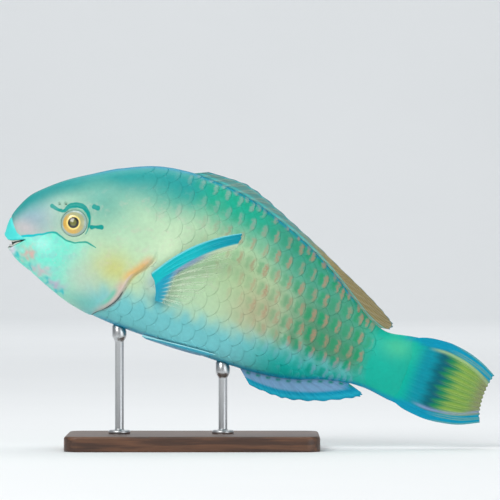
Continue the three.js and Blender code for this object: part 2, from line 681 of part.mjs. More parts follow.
function roundedRectangle(length, width, radius) {
  const shape = new THREE.Shape();
  const [x, y] = [length / 2 - radius, width / 2 - radius];
  shape.absarc(x, y, radius, 0, Math.PI / 2);
  shape.absarc(-x, y, radius, Math.PI / 2, Math.PI);
  shape.absarc(-x, -y, radius, Math.PI, 1.5 * Math.PI);
  shape.absarc(x, -y, radius, 1.5 * Math.PI, 2 * Math.PI);
  return shape;
}

function standBase(sockets) {
  const { length, width, height, corner, chamfer } = BASE;
  const inner = roundedRectangle(length - 2 * chamfer, width - 2 * chamfer, corner - chamfer);
  const slab = new THREE.ExtrudeGeometry(inner, {
    depth: height - 2 * chamfer,
    bevelThickness: chamfer,
    bevelSize: chamfer,
    bevelSegments: 2,
    curveSegments: 5,
  });
  slab.translate(0, 0, chamfer);
  return sockets.reduce((solid, socket) => solid.subtract(socket), solidOf(slab));
}

// Where the line straight under a point of the belly's middle line stands on the base
function underBelly(s) {
  return new THREE.Vector3(s, 0, stationAt(s).belly).applyMatrix4(fish.matrixWorld);
}

function upright(profile, x) {
  const lathe = new THREE.LatheGeometry(profile.map(([r, z]) => new THREE.Vector2(r, z)), 16);
  lathe.rotateX(Math.PI / 2);
  return solidOf(lathe.translate(x, 0, 0));
}

function rod(s) {
  const top = underBelly(s);
  const foot = BASE.height - ROD_SOCKET + GAP;
  const seat = BASE.height + GAP;
  const neck = top.z - ROD_CUP.height;
  const { radius, height, fillet } = ROD_COLLAR;
  return upright([
    [0, foot], [ROD_RADIUS, foot], [ROD_RADIUS, seat], [radius, seat], [radius, seat + height - fillet],
    [radius - fillet, seat + height], [ROD_RADIUS, seat + height], [ROD_RADIUS, neck - 4],
    [ROD_CUP.radius, neck], [ROD_CUP.radius, top.z + 6], [0, top.z + 6],
  ], top.x);
}

function socket(s) {
  const radius = ROD_RADIUS + GAP;
  const floor = BASE.height - ROD_SOCKET;
  return upright([[0, floor], [radius, floor], [radius, BASE.height + 5], [0, BASE.height + 5]], underBelly(s).x);
}

const belly = solidOf(bodyGeometry({ offset: GAP }).applyMatrix4(fish.matrixWorld));
const places = Object.values(RODS);
const stand = new THREE.Group();
stand.add(named('stand_base', geometryOf(standBase(places.map(socket))), MATERIALS.wood));
Object.entries(RODS).forEach(([name, s]) => {
  const fitted = largest(rod(s).subtract(belly));
  stand.add(named(`stand_rod_${name}`, geometryOf(fitted), MATERIALS.steel));
});

const parrotfish = new THREE.Group();
parrotfish.add(fish, stand);

export default parrotfish;
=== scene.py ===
# %% [markdown]
# # A parrotfish on a display stand
#
# This lesson dresses a plain, faceted model of a 30 cm parrotfish so that it looks like the living
# fish: one smooth skin with lips, orbits and gill covers, a coat of large scales, rayed fins, glossy
# eyes and a small stand. The plain model is loaded first and stays where it is. Every new piece is
# worked out in the fish's own frame, in millimetres, and then carried to the same place, so that it
# covers the plain piece it stands for.

# %% Load the frame
import math

import bpy
import numpy as np
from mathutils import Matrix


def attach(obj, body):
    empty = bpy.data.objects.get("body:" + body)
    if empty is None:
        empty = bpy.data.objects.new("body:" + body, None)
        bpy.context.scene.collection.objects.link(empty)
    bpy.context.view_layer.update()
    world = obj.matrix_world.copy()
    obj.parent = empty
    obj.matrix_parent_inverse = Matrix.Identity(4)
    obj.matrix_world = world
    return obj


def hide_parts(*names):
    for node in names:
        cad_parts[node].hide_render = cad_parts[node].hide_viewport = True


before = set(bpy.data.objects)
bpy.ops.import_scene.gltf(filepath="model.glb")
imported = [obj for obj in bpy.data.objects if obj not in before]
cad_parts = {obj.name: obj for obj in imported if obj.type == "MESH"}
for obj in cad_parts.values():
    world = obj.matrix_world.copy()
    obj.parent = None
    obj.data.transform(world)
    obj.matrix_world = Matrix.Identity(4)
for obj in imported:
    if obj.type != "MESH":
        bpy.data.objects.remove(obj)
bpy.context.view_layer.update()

print("plain pieces:", len(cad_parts))

# %% [markdown]
# ## The fish's own frame
#
# A fish is easiest to shape level and straight: `s` runs along the body from the snout to the tail, `y`
# across it with the left side at -y, and `t` up the body. Only at the end is the tail swept a little to
# one side and the whole fish pitched nose up. Doing this once, in one function, means that skin,
# scales, fins and eyes can't drift apart.

# %% From the fish's frame to the scene
MM = 0.001
PITCH = math.radians(20)
SNOUT_X, SNOUT_Z = -109.605, 130.221
TAIL_SWEEP, SWEEP_FROM, TAIL_TIP = 9.0, 120.0, 303.0


def to_scene(points):
    """Sweeps the tail sideways by a square law, turns the fish nose up and gives metres."""
    s, y, t = points[..., 0], points[..., 1], points[..., 2]
    share = np.clip((s - SWEEP_FROM) / (TAIL_TIP - SWEEP_FROM), 0, None)
    x = SNOUT_X + s * math.cos(PITCH) + t * math.sin(PITCH)
    z = SNOUT_Z - s * math.sin(PITCH) + t * math.cos(PITCH)
    return np.stack([x, y + TAIL_SWEEP * share**2, z], axis=-1) * MM


def smooth(x, low, high):
    """0 below low and 1 above high, with an S-shaped rise between them."""
    k = np.clip((x - low) / (high - low), 0, 1)
    return k * k * (3 - 2 * k)


def hump(x, width):
    """A bell of height 1 at x = 0 that has fallen to about a third at the width."""
    return np.exp(-((x / width) ** 2))


def spline(points, where):
    """Points of a smooth curve through the given ones, at shares 0 to 1 of its way.

    Each span is a cubic whose slope at a point is half the step between that point's two neighbours.
    """
    points, where = np.asarray(points, float), np.asarray(where, float)
    spans = len(points) - 1
    place = np.clip(where, 0, 1) * spans
    i = np.minimum(place.astype(int), spans - 1)
    k = (place - i)[..., None]
    before, a, b, after = (points[np.clip(i + step, 0, spans)] for step in (-1, 0, 1, 2))
    slope_a, slope_b = (b - before) / 2, (after - a) / 2
    return ((2 * k**3 - 3 * k**2 + 1) * a + (k**3 - 2 * k**2 + k) * slope_a
            + (3 * k**2 - 2 * k**3) * b + (k**3 - k**2) * slope_b)


print("the snout's tip is at", to_scene(np.array([0.0, 0.0, 0.0])).round(4))

# %% [markdown]
# ## Meshes from arrays
#
# Every surface here is a grid of points: rows along it and columns across it. Two kinds cover the whole
# fish. A tube closes on itself across and ends in two poles, as the body does. A slab has two faces
# with a rim between them, as a fin, a scale or a tooth plate does. The points go into the mesh in one
# call, and whether the faces point outwards is read from the sign of the volume that they enclose.

# %% Grids to meshes
def grid_quads(rows, columns, wrap=False):
    """Corner numbers of the squares of a grid, with the last column joined to the first if it wraps."""
    r, c = np.meshgrid(np.arange(rows - 1), np.arange(columns if wrap else columns - 1), indexing="ij")
    right = (c + 1) % columns
    near, far = r * columns, (r + 1) * columns
    return np.stack([near + c, near + right, far + right, far + c], axis=-1).reshape(-1, 4)


def slab_quads(rows, columns):
    """Squares of a front face, a back face that is numbered after it, and the rim that joins them."""
    count = rows * columns
    front = grid_quads(rows, columns)
    numbers = np.arange(count).reshape(rows, columns)
    rim = np.concatenate([numbers[0, :-1], numbers[:-1, -1], numbers[-1, :0:-1], numbers[:0:-1, 0]])
    after = np.roll(rim, -1)
    walls = np.stack([after, rim, rim + count, after + count], axis=-1)
    return np.concatenate([front, front[:, ::-1] + count, walls])


def tube_faces(rows, columns):
    """Squares of a tube's grid, and triangles from its end rings to two poles numbered after it."""
    ring = np.arange(columns)
    after = (ring + 1) % columns
    last = (rows - 1) * columns
    head = np.stack([np.full(columns, rows * columns), after, ring], axis=-1)
    tail = np.stack([np.full(columns, rows * columns + 1), last + ring, last + after], axis=-1)
    return grid_quads(rows, columns, wrap=True), np.concatenate([head, tail])


def volume(points, quads, triangles):
    """The volume inside closed faces: a sixth of the sum of the corners' triple products."""
    split = np.concatenate([quads[:, [0, 1, 2]], quads[:, [0, 2, 3]], triangles])
    a, b, c = (points[split[:, k]] for k in range(3))
    return np.einsum("ij,ij->", a, np.cross(b, c)) / 6


NO_TRIANGLES = np.zeros((0, 3), int)


def store(mesh, name, kind, field, values):
    """Keeps one value for each point of a mesh under a name that a material can read."""
    stored = mesh.attributes.new(name, kind, "POINT")
    stored.data.foreach_set(field, values.astype(np.float32).ravel())


def make_mesh(name, points, quads, triangles=NO_TRIANGLES, numbers=None, colours=None, uvs=None):
    """A mesh from whole arrays, faces turned outwards, with what its material reads stored on it."""
    place = points.mean(axis=0)
    if volume(points - place, quads, triangles) < 0:
        quads, triangles = quads[:, ::-1], triangles[:, ::-1]
    corners = np.concatenate([quads.ravel(), triangles.ravel()])
    starts = np.concatenate([np.arange(len(quads)) * 4, len(quads) * 4 + np.arange(len(triangles)) * 3])
    mesh = bpy.data.meshes.new(name)
    mesh.vertices.add(len(points))
    mesh.vertices.foreach_set("co", points.astype(np.float32).ravel())
    mesh.loops.add(len(corners))
    mesh.loops.foreach_set("vertex_index", corners.astype(np.int32))
    mesh.polygons.add(len(starts))
    mesh.polygons.foreach_set("loop_start", starts.astype(np.int32))
    mesh.update(calc_edges=True)
    for key, values in (numbers or {}).items():
        store(mesh, key, "FLOAT", "value", values)
    for key, values in (colours or {}).items():
        opaque = np.concatenate([values, np.ones(values.shape[:-1] + (1,))], axis=-1)
        store(mesh, key, "FLOAT_COLOR", "color", opaque)
    for key, values in (uvs or {}).items():
        mesh.uv_layers.new(name=key).data.foreach_set("uv", values[corners].astype(np.float32).ravel())
    mesh.validate()
    mesh.shade_smooth()
    return mesh


def add_piece(mesh, material, slot, *nodes):
    """Puts a finished mesh into the scene with its finish, for the plain pieces it replaces."""
    piece = bpy.data.objects.new(mesh.name, mesh)
    bpy.context.scene.collection.objects.link(piece)
    mesh.materials.append(material)
    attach(piece, "root")
    if nodes:
        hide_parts(*nodes)
    print(mesh.name, "has", sum(len(p.vertices) - 2 for p in mesh.polygons), "triangles")


# %% [markdown]
# ## The body's form
#
# The body is drawn as a boatbuilder would, by named stations. Each has its place along the body, the
# height of back and belly, half the width and the height of the widest point. A cubic curve joins the
# stations, and its parameter grows with the square root of the distance between them, which keeps the
# blunt muzzle round. A section is an ellipse with a narrower back and a fuller belly.

# %% Stations and sections
STATIONS = np.array([
    # along, back, belly, half width, height of the widest point
    (-1.3, 3.0, 3.0, 0.0, 3.0),  # muzzle
    (-0.7, 9.0, -2.4, 3.9, 3.0),  # upper lip
    (1.3, 15.2, -6.4, 6.4, 4.0),  # nasal bone
    (5.6, 23.6, -11.8, 8.7, 5.0),  # chin
    (12, 30.4, -15.8, 10.7, 6.0),  # corner of the mouth
    (22, 39.0, -19.4, 13.0, 7.5),  # nostril
    (36, 48.3, -24.9, 15.7, 9.0),  # eye
    (52, 57.9, -29.7, 18.4, 10.5),  # cheek
    (70, 65.6, -31.6, 20.6, 12.0),  # nape
    (88, 69.0, -32.1, 21.6, 13.0),  # shoulder
    (106, 69.1, -31.9, 21.3, 13.5),  # breast
    (126, 67.0, -31.6, 20.0, 13.5),  # belly
    (148, 61.0, -31.2, 17.6, 12.5),  # vent
    (168, 53.4, -30.0, 14.9, 10.0),  # start of the anal fin
    (188, 43.6, -26.6, 12.0, 7.0),  # rear flank
    (206, 32.4, -20.3, 9.4, 4.0),  # where the fins end
    (220, 23.8, -17.2, 7.6, 2.5),  # stalk
    (232, 19.9, -16.5, 6.0, 2.0),  # waist of the stalk
    (243, 21.5, -17.7, 4.0, 2.0),  # flare
    (252, 23.7, -19.1, 1.9, 2.3),  # root of the tail
])
BACK_RIDGE, BELLY_FULLNESS = 0.28, 0.14
MUZZLE = 1.35  # the outline runs this much steeper round the muzzle

steps = np.sqrt(np.linalg.norm(np.diff(STATIONS[:, :3], axis=0), axis=1))
KNOTS = np.concatenate([[0], np.cumsum(steps)])
slopes = np.diff(STATIONS, axis=0) / steps[:, None]
TANGENTS = np.empty_like(STATIONS)
before, after = slopes[:-1] * steps[1:, None], slopes[1:] * steps[:-1, None]
TANGENTS[1:-1] = (before + after) / (steps[:-1] + steps[1:])[:, None]
TANGENTS[-1] = slopes[-1]
TANGENTS[0] = slopes[0] * [0, MUZZLE, MUZZLE, MUZZLE, 0]


def body_values(u):
    """The five values of a section at parameter u: a cubic between two stations."""
    i = np.clip(np.searchsorted(KNOTS, u, side="right") - 1, 0, len(KNOTS) - 2)
    width = (KNOTS[i + 1] - KNOTS[i])[..., None]
    k = (np.asarray(u)[..., None] - KNOTS[i][..., None]) / width
    values = ((2 * k**3 - 3 * k**2 + 1) * STATIONS[i] + (k**3 - 2 * k**2 + k) * width * TANGENTS[i]
              + (3 * k**2 - 2 * k**3) * STATIONS[i + 1] + (k**3 - k**2) * width * TANGENTS[i + 1])
    return np.moveaxis(values, -1, 0)


def back_power(s):
    """Power of the cosine above the widest point: 1 is an ellipse, more a narrower back."""
    return 1 + BACK_RIDGE * smooth(s, 40, 110)


def belly_power(s):
    """Power of the cosine below the widest point: less than 1 is a fuller belly."""
    return 1 - BELLY_FULLNESS * smooth(s, 20, 80) * (1 - smooth(s, 200, 245))


def section(values, angle):
    """Points of sections: y is half width times the angle's sine, height its cosine to a power.

    Angle 0 is the back, a quarter turn the left side and half a turn the belly.
    """
    s, back, belly, half, mid = values
    up = np.cos(angle)
    power = np.where(up > 0, back_power(s), belly_power(s))
    reach = np.where(up > 0, back - mid, mid - belly)
    t = mid + np.sign(up) * reach * np.abs(up) ** power
    return np.stack(np.broadcast_arrays(s, -half * np.sin(angle), t), axis=-1)


PROFILE = body_values(np.linspace(0, KNOTS[-1], 6000))


def at_place(s):
    """The five values at a place along the body."""
    return np.stack([s] + [np.interp(s, PROFILE[0], row) for row in PROFILE[1:]])


def half_width(s, t):
    """Half the body's width at a point of its side view: the section's formula, solved for y."""
    s, t = np.broadcast_arrays(np.asarray(s, float), np.asarray(t, float))
    _, back, belly, half, mid = at_place(s)
    above = t > mid
    reach = np.where(above, back - mid, mid - belly)
    power = np.where(above, back_power(s), belly_power(s))
    up = np.clip(np.abs(t - mid) / np.maximum(reach, 1e-6), 0, 1) ** (1 / power)
    return half * np.sqrt(1 - up**2)


def surface_normals(points, wrap=False):
    """Unit normals of a grid of points: the cross product of the steps along its rows and its columns."""
    along = np.gradient(points, axis=0)
    if wrap:
        across = np.roll(points, -1, axis=1) - np.roll(points, 1, axis=1)
    else:
        across = np.gradient(points, axis=1)
    normal = np.cross(along, across)
    return normal / np.maximum(np.linalg.norm(normal, axis=-1, keepdims=True), 1e-9)


print("deepest section:", round(float((PROFILE[1] - PROFILE[2]).max()), 1), "mm, widest:",
      round(float(2 * PROFILE[3].max()), 1), "mm")

# %% [markdown]
# ## Landmarks in the side view
#
# Most features of a fish's head are lines that read best from the side: the edges of the mouth, the
# free edge of the gill cover, the folds of the lip and jaw. They are kept as short chains of points in
# the side view. Relief and colour then both use the distance from such a line, so a fold and its shade
# always lie together.

# %% Landmark lines
GILL_EDGE = [
    (60, -40), (63.5, -30.5), (70, -24), (74.6, -17), (76.6, -9), (78.6, -1),
    (84, 6.5), (87.5, 16), (84, 30), (76, 45), (68, 60), (62, 74),
]
COAT_EDGE = GILL_EDGE[:8] + [(80, 27), (66, 34), (57, 43), (52, 53), (48, 62), (46, 74)]
UPPER_LIP = [(-4, -3.4), (-0.4, -4.2), (2.4, -5.9), (5.2, -5.3), (12.2, -2.2)]
LOWER_LIP = [(-4, -11.0), (5.4, -9.3), (7.4, -7.0), (12.2, -2.2)]
LIP_FOLD = [(-2.5, 8.6), (0, 7.0), (3, 3.0), (6, 0.0), (9, -1.0), (12.6, -2.4)]
JAW_FOLD = [(12.6, -2.6), (16.5, -9), (20.5, -17), (23, -27)]
CHEEK_FOLD = [(37, 5), (39, -3), (39.6, -12), (36, -20)]
EYE_PLACE = (36.3, 16.9)
EYE_RADIUS = 8.1


def line_height(line, s):
    """Height of a line of the side view at a place along the body."""
    return np.interp(s, [p[0] for p in line], [p[1] for p in line])


def ahead_of(edge):
    """A function for how far a point of the side view lies in front of a steadily rising edge."""
    curve = spline(edge, np.linspace(0, 1, 81))
    return lambda s, t: np.interp(t, curve[:, 1], curve[:, 0]) - s


ahead_of_gill, ahead_of_coat = ahead_of(GILL_EDGE), ahead_of(COAT_EDGE)


def stroke(s, t, points, radii):
    """Distance from the edge of a brush stroke, negative inside it.

    The stroke is a chain of straight pieces whose radius changes evenly along each piece.
    """
    best = np.full(np.broadcast(s, t).shape, 1e3)
    radii = np.broadcast_to(np.asarray(radii, float), len(points))
    for (s0, t0), (s1, t1), r0, r1 in zip(points[:-1], points[1:], radii[:-1], radii[1:]):
        length = (s1 - s0) ** 2 + (t1 - t0) ** 2
        k = np.clip(((s - s0) * (s1 - s0) + (t - t0) * (t1 - t0)) / length, 0, 1)
        gap = np.hypot(s - s0 - k * (s1 - s0), t - t0 - k * (t1 - t0))
        best = np.minimum(best, gap - (r0 + k * (r1 - r0)))
    return best


def mottle(s, t, size, seed):
    """Smooth irregular ups and downs, mostly -1 to 1: a sum of seven waves in random directions."""
    rng = np.random.default_rng(seed)
    turns, phases = rng.uniform(0, 2 * np.pi, (2, 7)), rng.uniform(0, 6.3, 7)
    sizes = rng.uniform(0.7, 1.4, 7) * size
    waves = [np.sin((s * np.cos(turn) + t * np.sin(turn)) * 2 * np.pi / span + phase)
             for turn, phase, span in zip(turns[0], phases, sizes)]
    return sum(waves) / 2.6


gill_place = round(float(ahead_of_gill(0.0, 10.0)), 1)
print("10 mm up, the gill cover's free edge lies at s =", gill_place, "mm")

# %% [markdown]
# ## Relief of the skin
#
# The skin follows the body's form, a little inside it to leave room for the scales, and moves in and
# out along its own normals: lips swell, the mouth is a slot, the orbit a cup with a raised rim, the
# nostrils are two pits, and the gill cover ends in a thin free edge. Sculpting by hand would do this
# too, but a formula can be read, changed and run again.

# %% Relief
COAT_DEPTH, HEAD_DEPTH = 0.36, 0.1
GILL_FLAP, GILL_FLAP_WIDTH = 0.9, 9.0
MOUTH_DEPTH = 2.6
PAD_PLACE, PAD_TURN = (93.0, -2.3), math.atan2(-14.2, 8.0)
PAD_HEIGHT, PAD_REACH = 2.1, (12.0, 6.5)
LIP_SWELL, LIP_FOLD_DEPTH, JAW_FOLD_DEPTH, CHEEK_FOLD_DEPTH = 0.62, 0.34, 0.3, 0.22
SOCKET_DEPTH, ORBIT_RIM, ORBIT_GROOVE = 2.4, 0.42, 0.25
NOSTRIL_DEPTH, NOSTRIL_RIM = 1.0, 0.14


def pad_swell(s, t):
    """The fleshy root of the side fin: a low oval rise of the skin, turned along the fin's root."""
    ds, dt = s - PAD_PLACE[0], t - PAD_PLACE[1]
    along = ds * math.cos(PAD_TURN) + dt * math.sin(PAD_TURN)
    across = -ds * math.sin(PAD_TURN) + dt * math.cos(PAD_TURN)
    return PAD_HEIGHT * (1 - smooth(np.hypot(along / PAD_REACH[0], across / PAD_REACH[1]), 0.25, 1.0))


def in_mouth(s, t):
    """How far a point lies inside the slot of the mouth, in mm, and negative outside it."""
    behind_corner = np.maximum(s - UPPER_LIP[-1][0], 0)
    return np.minimum(line_height(UPPER_LIP, s) - t, t - line_height(LOWER_LIP, s)) - behind_corner


NOSTRILS = [(24.2, 24.6, 0.8), (27.6, 26.0, 1.0)]  # along, up and radius


def from_nostril(s, t):
    """Distance from the nearer nostril, as a share of its radius."""
    return np.min([np.hypot(s - s0, t - t0) / radius for s0, t0, radius in NOSTRILS], axis=0)


def relief(s, t):
    """Height of the skin above the body's form at each point of the side view, in mm."""
    ahead = ahead_of_gill(s, t)
    coated = smooth(-ahead_of_coat(s, t), -3, 3) * (1 - smooth(s, 226, 240))
    height = -HEAD_DEPTH - (COAT_DEPTH - HEAD_DEPTH) * coated + pad_swell(s, t)
    height = height - 0.6 * smooth(s, 245, 252)
    free = (1 - smooth(t, 7, 25)) * (0.25 + 0.75 * smooth(t, -31, -24))
    flap = smooth(ahead, -0.7, 0.15) * (1 - smooth(ahead, 0, GILL_FLAP_WIDTH))
    height = height + free * ((GILL_FLAP + COAT_DEPTH * 0.4) * flap - 0.7 * hump(ahead + 1.3, 0.8))
    mouth = in_mouth(s, t)
    height = height - MOUTH_DEPTH * smooth(mouth, -0.1, 0.5)
    near = 1 - smooth(s, 10.5, 14)
    upper = stroke(s, t, UPPER_LIP, 0)
    lower = stroke(s, t, LOWER_LIP[1:], 0)
    outside = 1 - smooth(mouth, -0.5, 0.0)
    lips = np.maximum(hump(upper - 0.9, 1.2), hump(lower - 0.9, 1.2))
    height = height + outside * near * LIP_SWELL * lips
    height = height - LIP_FOLD_DEPTH * hump(stroke(s, t, LIP_FOLD, 0), 0.65) * (1 - smooth(s, 10, 14))
    height = height - JAW_FOLD_DEPTH * hump(stroke(s, t, JAW_FOLD, 0), 0.8)
    height = height - CHEEK_FOLD_DEPTH * hump(stroke(s, t, CHEEK_FOLD, 0), 1.1)
    from_eye = np.hypot(s - EYE_PLACE[0], t - EYE_PLACE[1])
    height = height - SOCKET_DEPTH * (1 - smooth(from_eye, EYE_RADIUS - 1.2, EYE_RADIUS - 0.1))
    height = height + ORBIT_RIM * hump(from_eye - EYE_RADIUS - 0.8, 0.9)
    height = height - ORBIT_GROOVE * hump(from_eye - EYE_RADIUS - 2.8, 0.9)
    nostril = from_nostril(s, t)
    height = height - NOSTRIL_DEPTH * (1 - smooth(nostril, 0.45, 1.05))
    return height + NOSTRIL_RIM * hump(nostril - 1.45, 0.4)


# %% [markdown]
# ## Colours of the living fish
#
# A grown male parrotfish is painted in soft washes: aqua cheeks, a lavender snout, a cream and yellow
# shoulder, an emerald back and a turquoise stalk. The washes change slowly, so they are worked out once
# for each point, as a chain of colour layers with soft masks, and stored on the mesh. The narrow lines
# of the face are sharp, so their distances are stored instead and the material draws the edge. The skin
# and the scales both call the same functions.

# %% Colour helpers
def srgb(red, green, blue):
    """A colour given as 0 to 255 on a screen, as the linear numbers that light adds up in."""
    c = np.array([red, green, blue]) / 255
    return np.where(c <= 0.04045, c / 12.92, ((c + 0.055) / 1.055) ** 2.4)


def wash(ground, colour, mask):
    """Lays a colour over the ground where the mask says so."""
    return ground + (np.asarray(colour) - ground) * np.clip(mask, 0, 1)[..., None]


def blob(s, t, place, radii):
    """A soft oval spot: 1 in its middle, falling off as a bell along both of its radii."""
    return np.exp(-(((s - place[0]) / radii[0]) ** 2 + ((t - place[1]) / radii[1]) ** 2))


def daub(c, s, t, *spots):
    """Lays soft oval spots one after another, each given by its colour, place, radii and strength."""
    for colour, place, radii, strength in spots:
        c = wash(c, colour, blob(s, t, place, radii) * strength)
    return c


CREAM, AQUA, LAVENDER = srgb(190, 224, 188), srgb(118, 238, 214), srgb(150, 178, 190)
SEA_BLUE, BREAST, EMERALD = srgb(42, 160, 158), srgb(118, 204, 208), srgb(30, 176, 146)
LEAF, MOSS, TURQUOISE = srgb(178, 208, 158), srgb(68, 140, 106), srgb(0, 182, 160)
YELLOW, ORANGE, ROSE = srgb(206, 206, 124), srgb(232, 178, 104), srgb(222, 178, 168)
AZURE = srgb(0, 150, 184)


UNDER_EYE = [
    (9, -1.5), (12, 0.2), (15, 1.5), (20, 4), (24, 6.5), (28, 8), (31, 7), (35, 6),
    (40, 6), (43, 7.5), (47, 8.7), (50, 8.5), (53.5, 7.6),
]
UNDER_EYE_RADII = [0.8, 0.8, 0.75, 0.65, 0.6, 0.6, 0.5, 0.45, 0.45, 0.5, 0.55, 0.5, 0.25]
UNDER_EYE_CURVE = spline(UNDER_EYE, np.linspace(0, 1, 100))


def ground_colour(s, t):
    """The fish's soft colours, as layers of paint from the widest wash to the smallest spot, with painted
    light on the belly, the gill cover's edge and the side fin's pad.
    """
    _, back, belly, _, _ = at_place(s)
    below_back, above_belly = back - t, t - belly
    patchy, broad = mottle(s, t, 9.0, 11), mottle(s, t, 34.0, 12)
    deep = smooth(s, 34, 60)
    c = np.broadcast_to(CREAM, np.broadcast(s, t).shape + (3,))
    c = wash(c, LEAF, blob(s, t, (140, 22), (34, 26)) * 0.9)
    c = wash(c, MOSS, smooth(s + 4 * patchy, 146, 194) * 0.95)
    c = wash(c, srgb(184, 168, 132), blob(s, t, (155, 5), (16, 16)) * 0.7)
    upper = (1 - smooth(below_back + patchy + 3 * broad, 6, 36)) * (1 - 0.55 * smooth(s, 170, 205))
    c = wash(c, EMERALD, smooth(s, 58, 92) * upper)
    c = wash(c, srgb(74, 146, 122), upper * smooth(s, 132, 160) * (1 - smooth(s, 196, 214)) * 0.6)
    c = wash(c, BREAST, (1 - smooth(t + 1.5 * patchy, -19, -2)) * smooth(s, 44, 66))
    # painted light: a paler band along the underside of the belly, which faces down and gets less light
    c = wash(c, srgb(140, 230, 236), blob(s, t, (122, -27), (32, 7)) * 0.8)
    c = wash(c, srgb(20, 178, 168), (1 - smooth(t, -20, -6)) * smooth(s, 146, 182))
    c = wash(c, srgb(226, 246, 208), blob(s, t, (96, 20), (11, 12)) * 0.7)
    c = wash(c, TURQUOISE, smooth(s + patchy, 217, 230))
    c = wash(c, srgb(72, 202, 154), blob(s, t, (241, 13), (9, 6)) * 0.75)
    c = wash(c, AZURE, (1 - smooth(np.minimum(below_back, above_belly), 1.5, 4.5)) * smooth(s, 238, 254))
    c = daub(c, s, t, (srgb(92, 176, 162), (46, 34), (20, 16), 0.85),
             (LAVENDER, (10, 12), (19, 15), 1),
             (srgb(208, 196, 198), (10, 4), (9, 5), 0.75))
    crown = 1 - smooth(below_back + 2 * broad, 5 * deep, 20 + 14 * deep)
    c = wash(c, SEA_BLUE, (1 - smooth(s, 90, 112)) * crown)
    c = wash(c, srgb(30, 148, 150), blob(s, below_back, (16, 3), (16, 9)) * 0.55)
    under_eye = line_height(UNDER_EYE_CURVE, s) - t
    cheek = smooth(under_eye, -0.4, 0.6) * (1 - smooth(s, 34, 60)) * smooth(s, 4, 8)
    c = wash(c, AQUA, cheek)
    c = wash(c, srgb(176, 250, 236), cheek * blob(s, t, (22, -1), (7, 5)) * 0.8)
    c = wash(c, srgb(150, 206, 206), cheek * smooth(mottle(s, t, 8.0, 5), 0.2, 0.9) * 0.35)
    c = wash(c, srgb(188, 210, 190), blob(s, t, (52, -11), (13, 13)) * 0.75)
    c = wash(c, YELLOW, blob(s + patchy, t, (68, 0), (13, 10)) * 0.85)
    ridge = (1 - smooth(below_back, 0.5, 2.8)) * (1 - smooth(s, 204, 214)) * smooth(s, 24, 50)
    c = wash(c, srgb(0, 146, 178), ridge * 0.9)
    c = wash(c, srgb(0, 150, 190), (1 - smooth(above_belly, 0.4, 3.2)) * smooth(s, 60, 76) * 0.9)
    ahead = ahead_of_gill(s, t)
    edge = hump(ahead - 1.2, 3.2) * (1 - smooth(ahead, 5, 9)) * smooth(ahead, -3.5, -1)
    c = wash(c, ORANGE, edge * smooth(t, -9, 1) * (1 - smooth(t, 9, 17)) * 0.85)
    c = wash(c, ROSE, edge * smooth(t, -30, -24) * (1 - smooth(t, -9, -2)) * 0.7)
    # painted highlight: a pale line along the raised free edge of the gill cover
    rim = hump(ahead - 0.3, 0.7) * smooth(t, -31, -26) * (1 - smooth(t, -3, 3))
    c = wash(c, srgb(232, 214, 204), rim * 0.8)
    streak = hump(ahead - 3.4, 1.4) * smooth(t, -24, -20) * (1 - smooth(t, -14, -9))
    c = wash(c, srgb(64, 204, 172), streak * 0.7)
    # the grey-lavender spot at (92, 1) on the side fin's fleshy pad is partly its own colour, partly
    # painted sheen
    c = daub(c, s, t, (srgb(110, 196, 186), (58, -25), (12, 5), 0.7),
             (srgb(150, 172, 186), (92, 1), (5, 7), 0.6),
             (srgb(40, 170, 190), (99, -8), (4.5, 4.5), 0.85))
    s, t = s + 1.5 * mottle(s, t, 5.0, 21), t + 1.2 * mottle(s, t, 5.0, 22)
    c = daub(c, s, t, (ROSE, (16.5, -9.5), (3.8, 4.0), 0.95),
             (srgb(214, 194, 200), (27, -16), (5.5, 3.2), 0.9),
             (srgb(196, 180, 204), (37.5, -21.5), (5, 2.6), 0.9),
             (srgb(222, 222, 234), (6.2, -10.5), (3.4, 3.4), 0.95))
    chin_spots = [(10.8, -13.2), (20.5, -16.2), (32.5, -21.2), (41, -24)]
    return daub(c, s, t, *((srgb(40, 200, 202), place, (2.2, 1.8), 0.9) for place in chin_spots))


EYE_BAND = [
    (20.4, 22), (25, 21.2), (28.2, 21.8), (30, 25), (33, 27.1), (37, 27.9), (40.4, 26.6), (43.2, 23.6),
    (44.8, 20), (45.2, 16), (44.8, 13),
]
EYE_BAND_RADII = [1.3, 0.85, 1.1, 1.5, 1.75, 1.6, 1.3, 0.9, 0.6, 0.45, 0.2]
EYE_SPOT = [(44, 30), (46.4, 30)]
EYE_BAR = [(46.6, 18.2), (49, 19.2), (52.3, 20.2)]
EYE_BAR_RADII = [1.25, 0.95, 1.45]


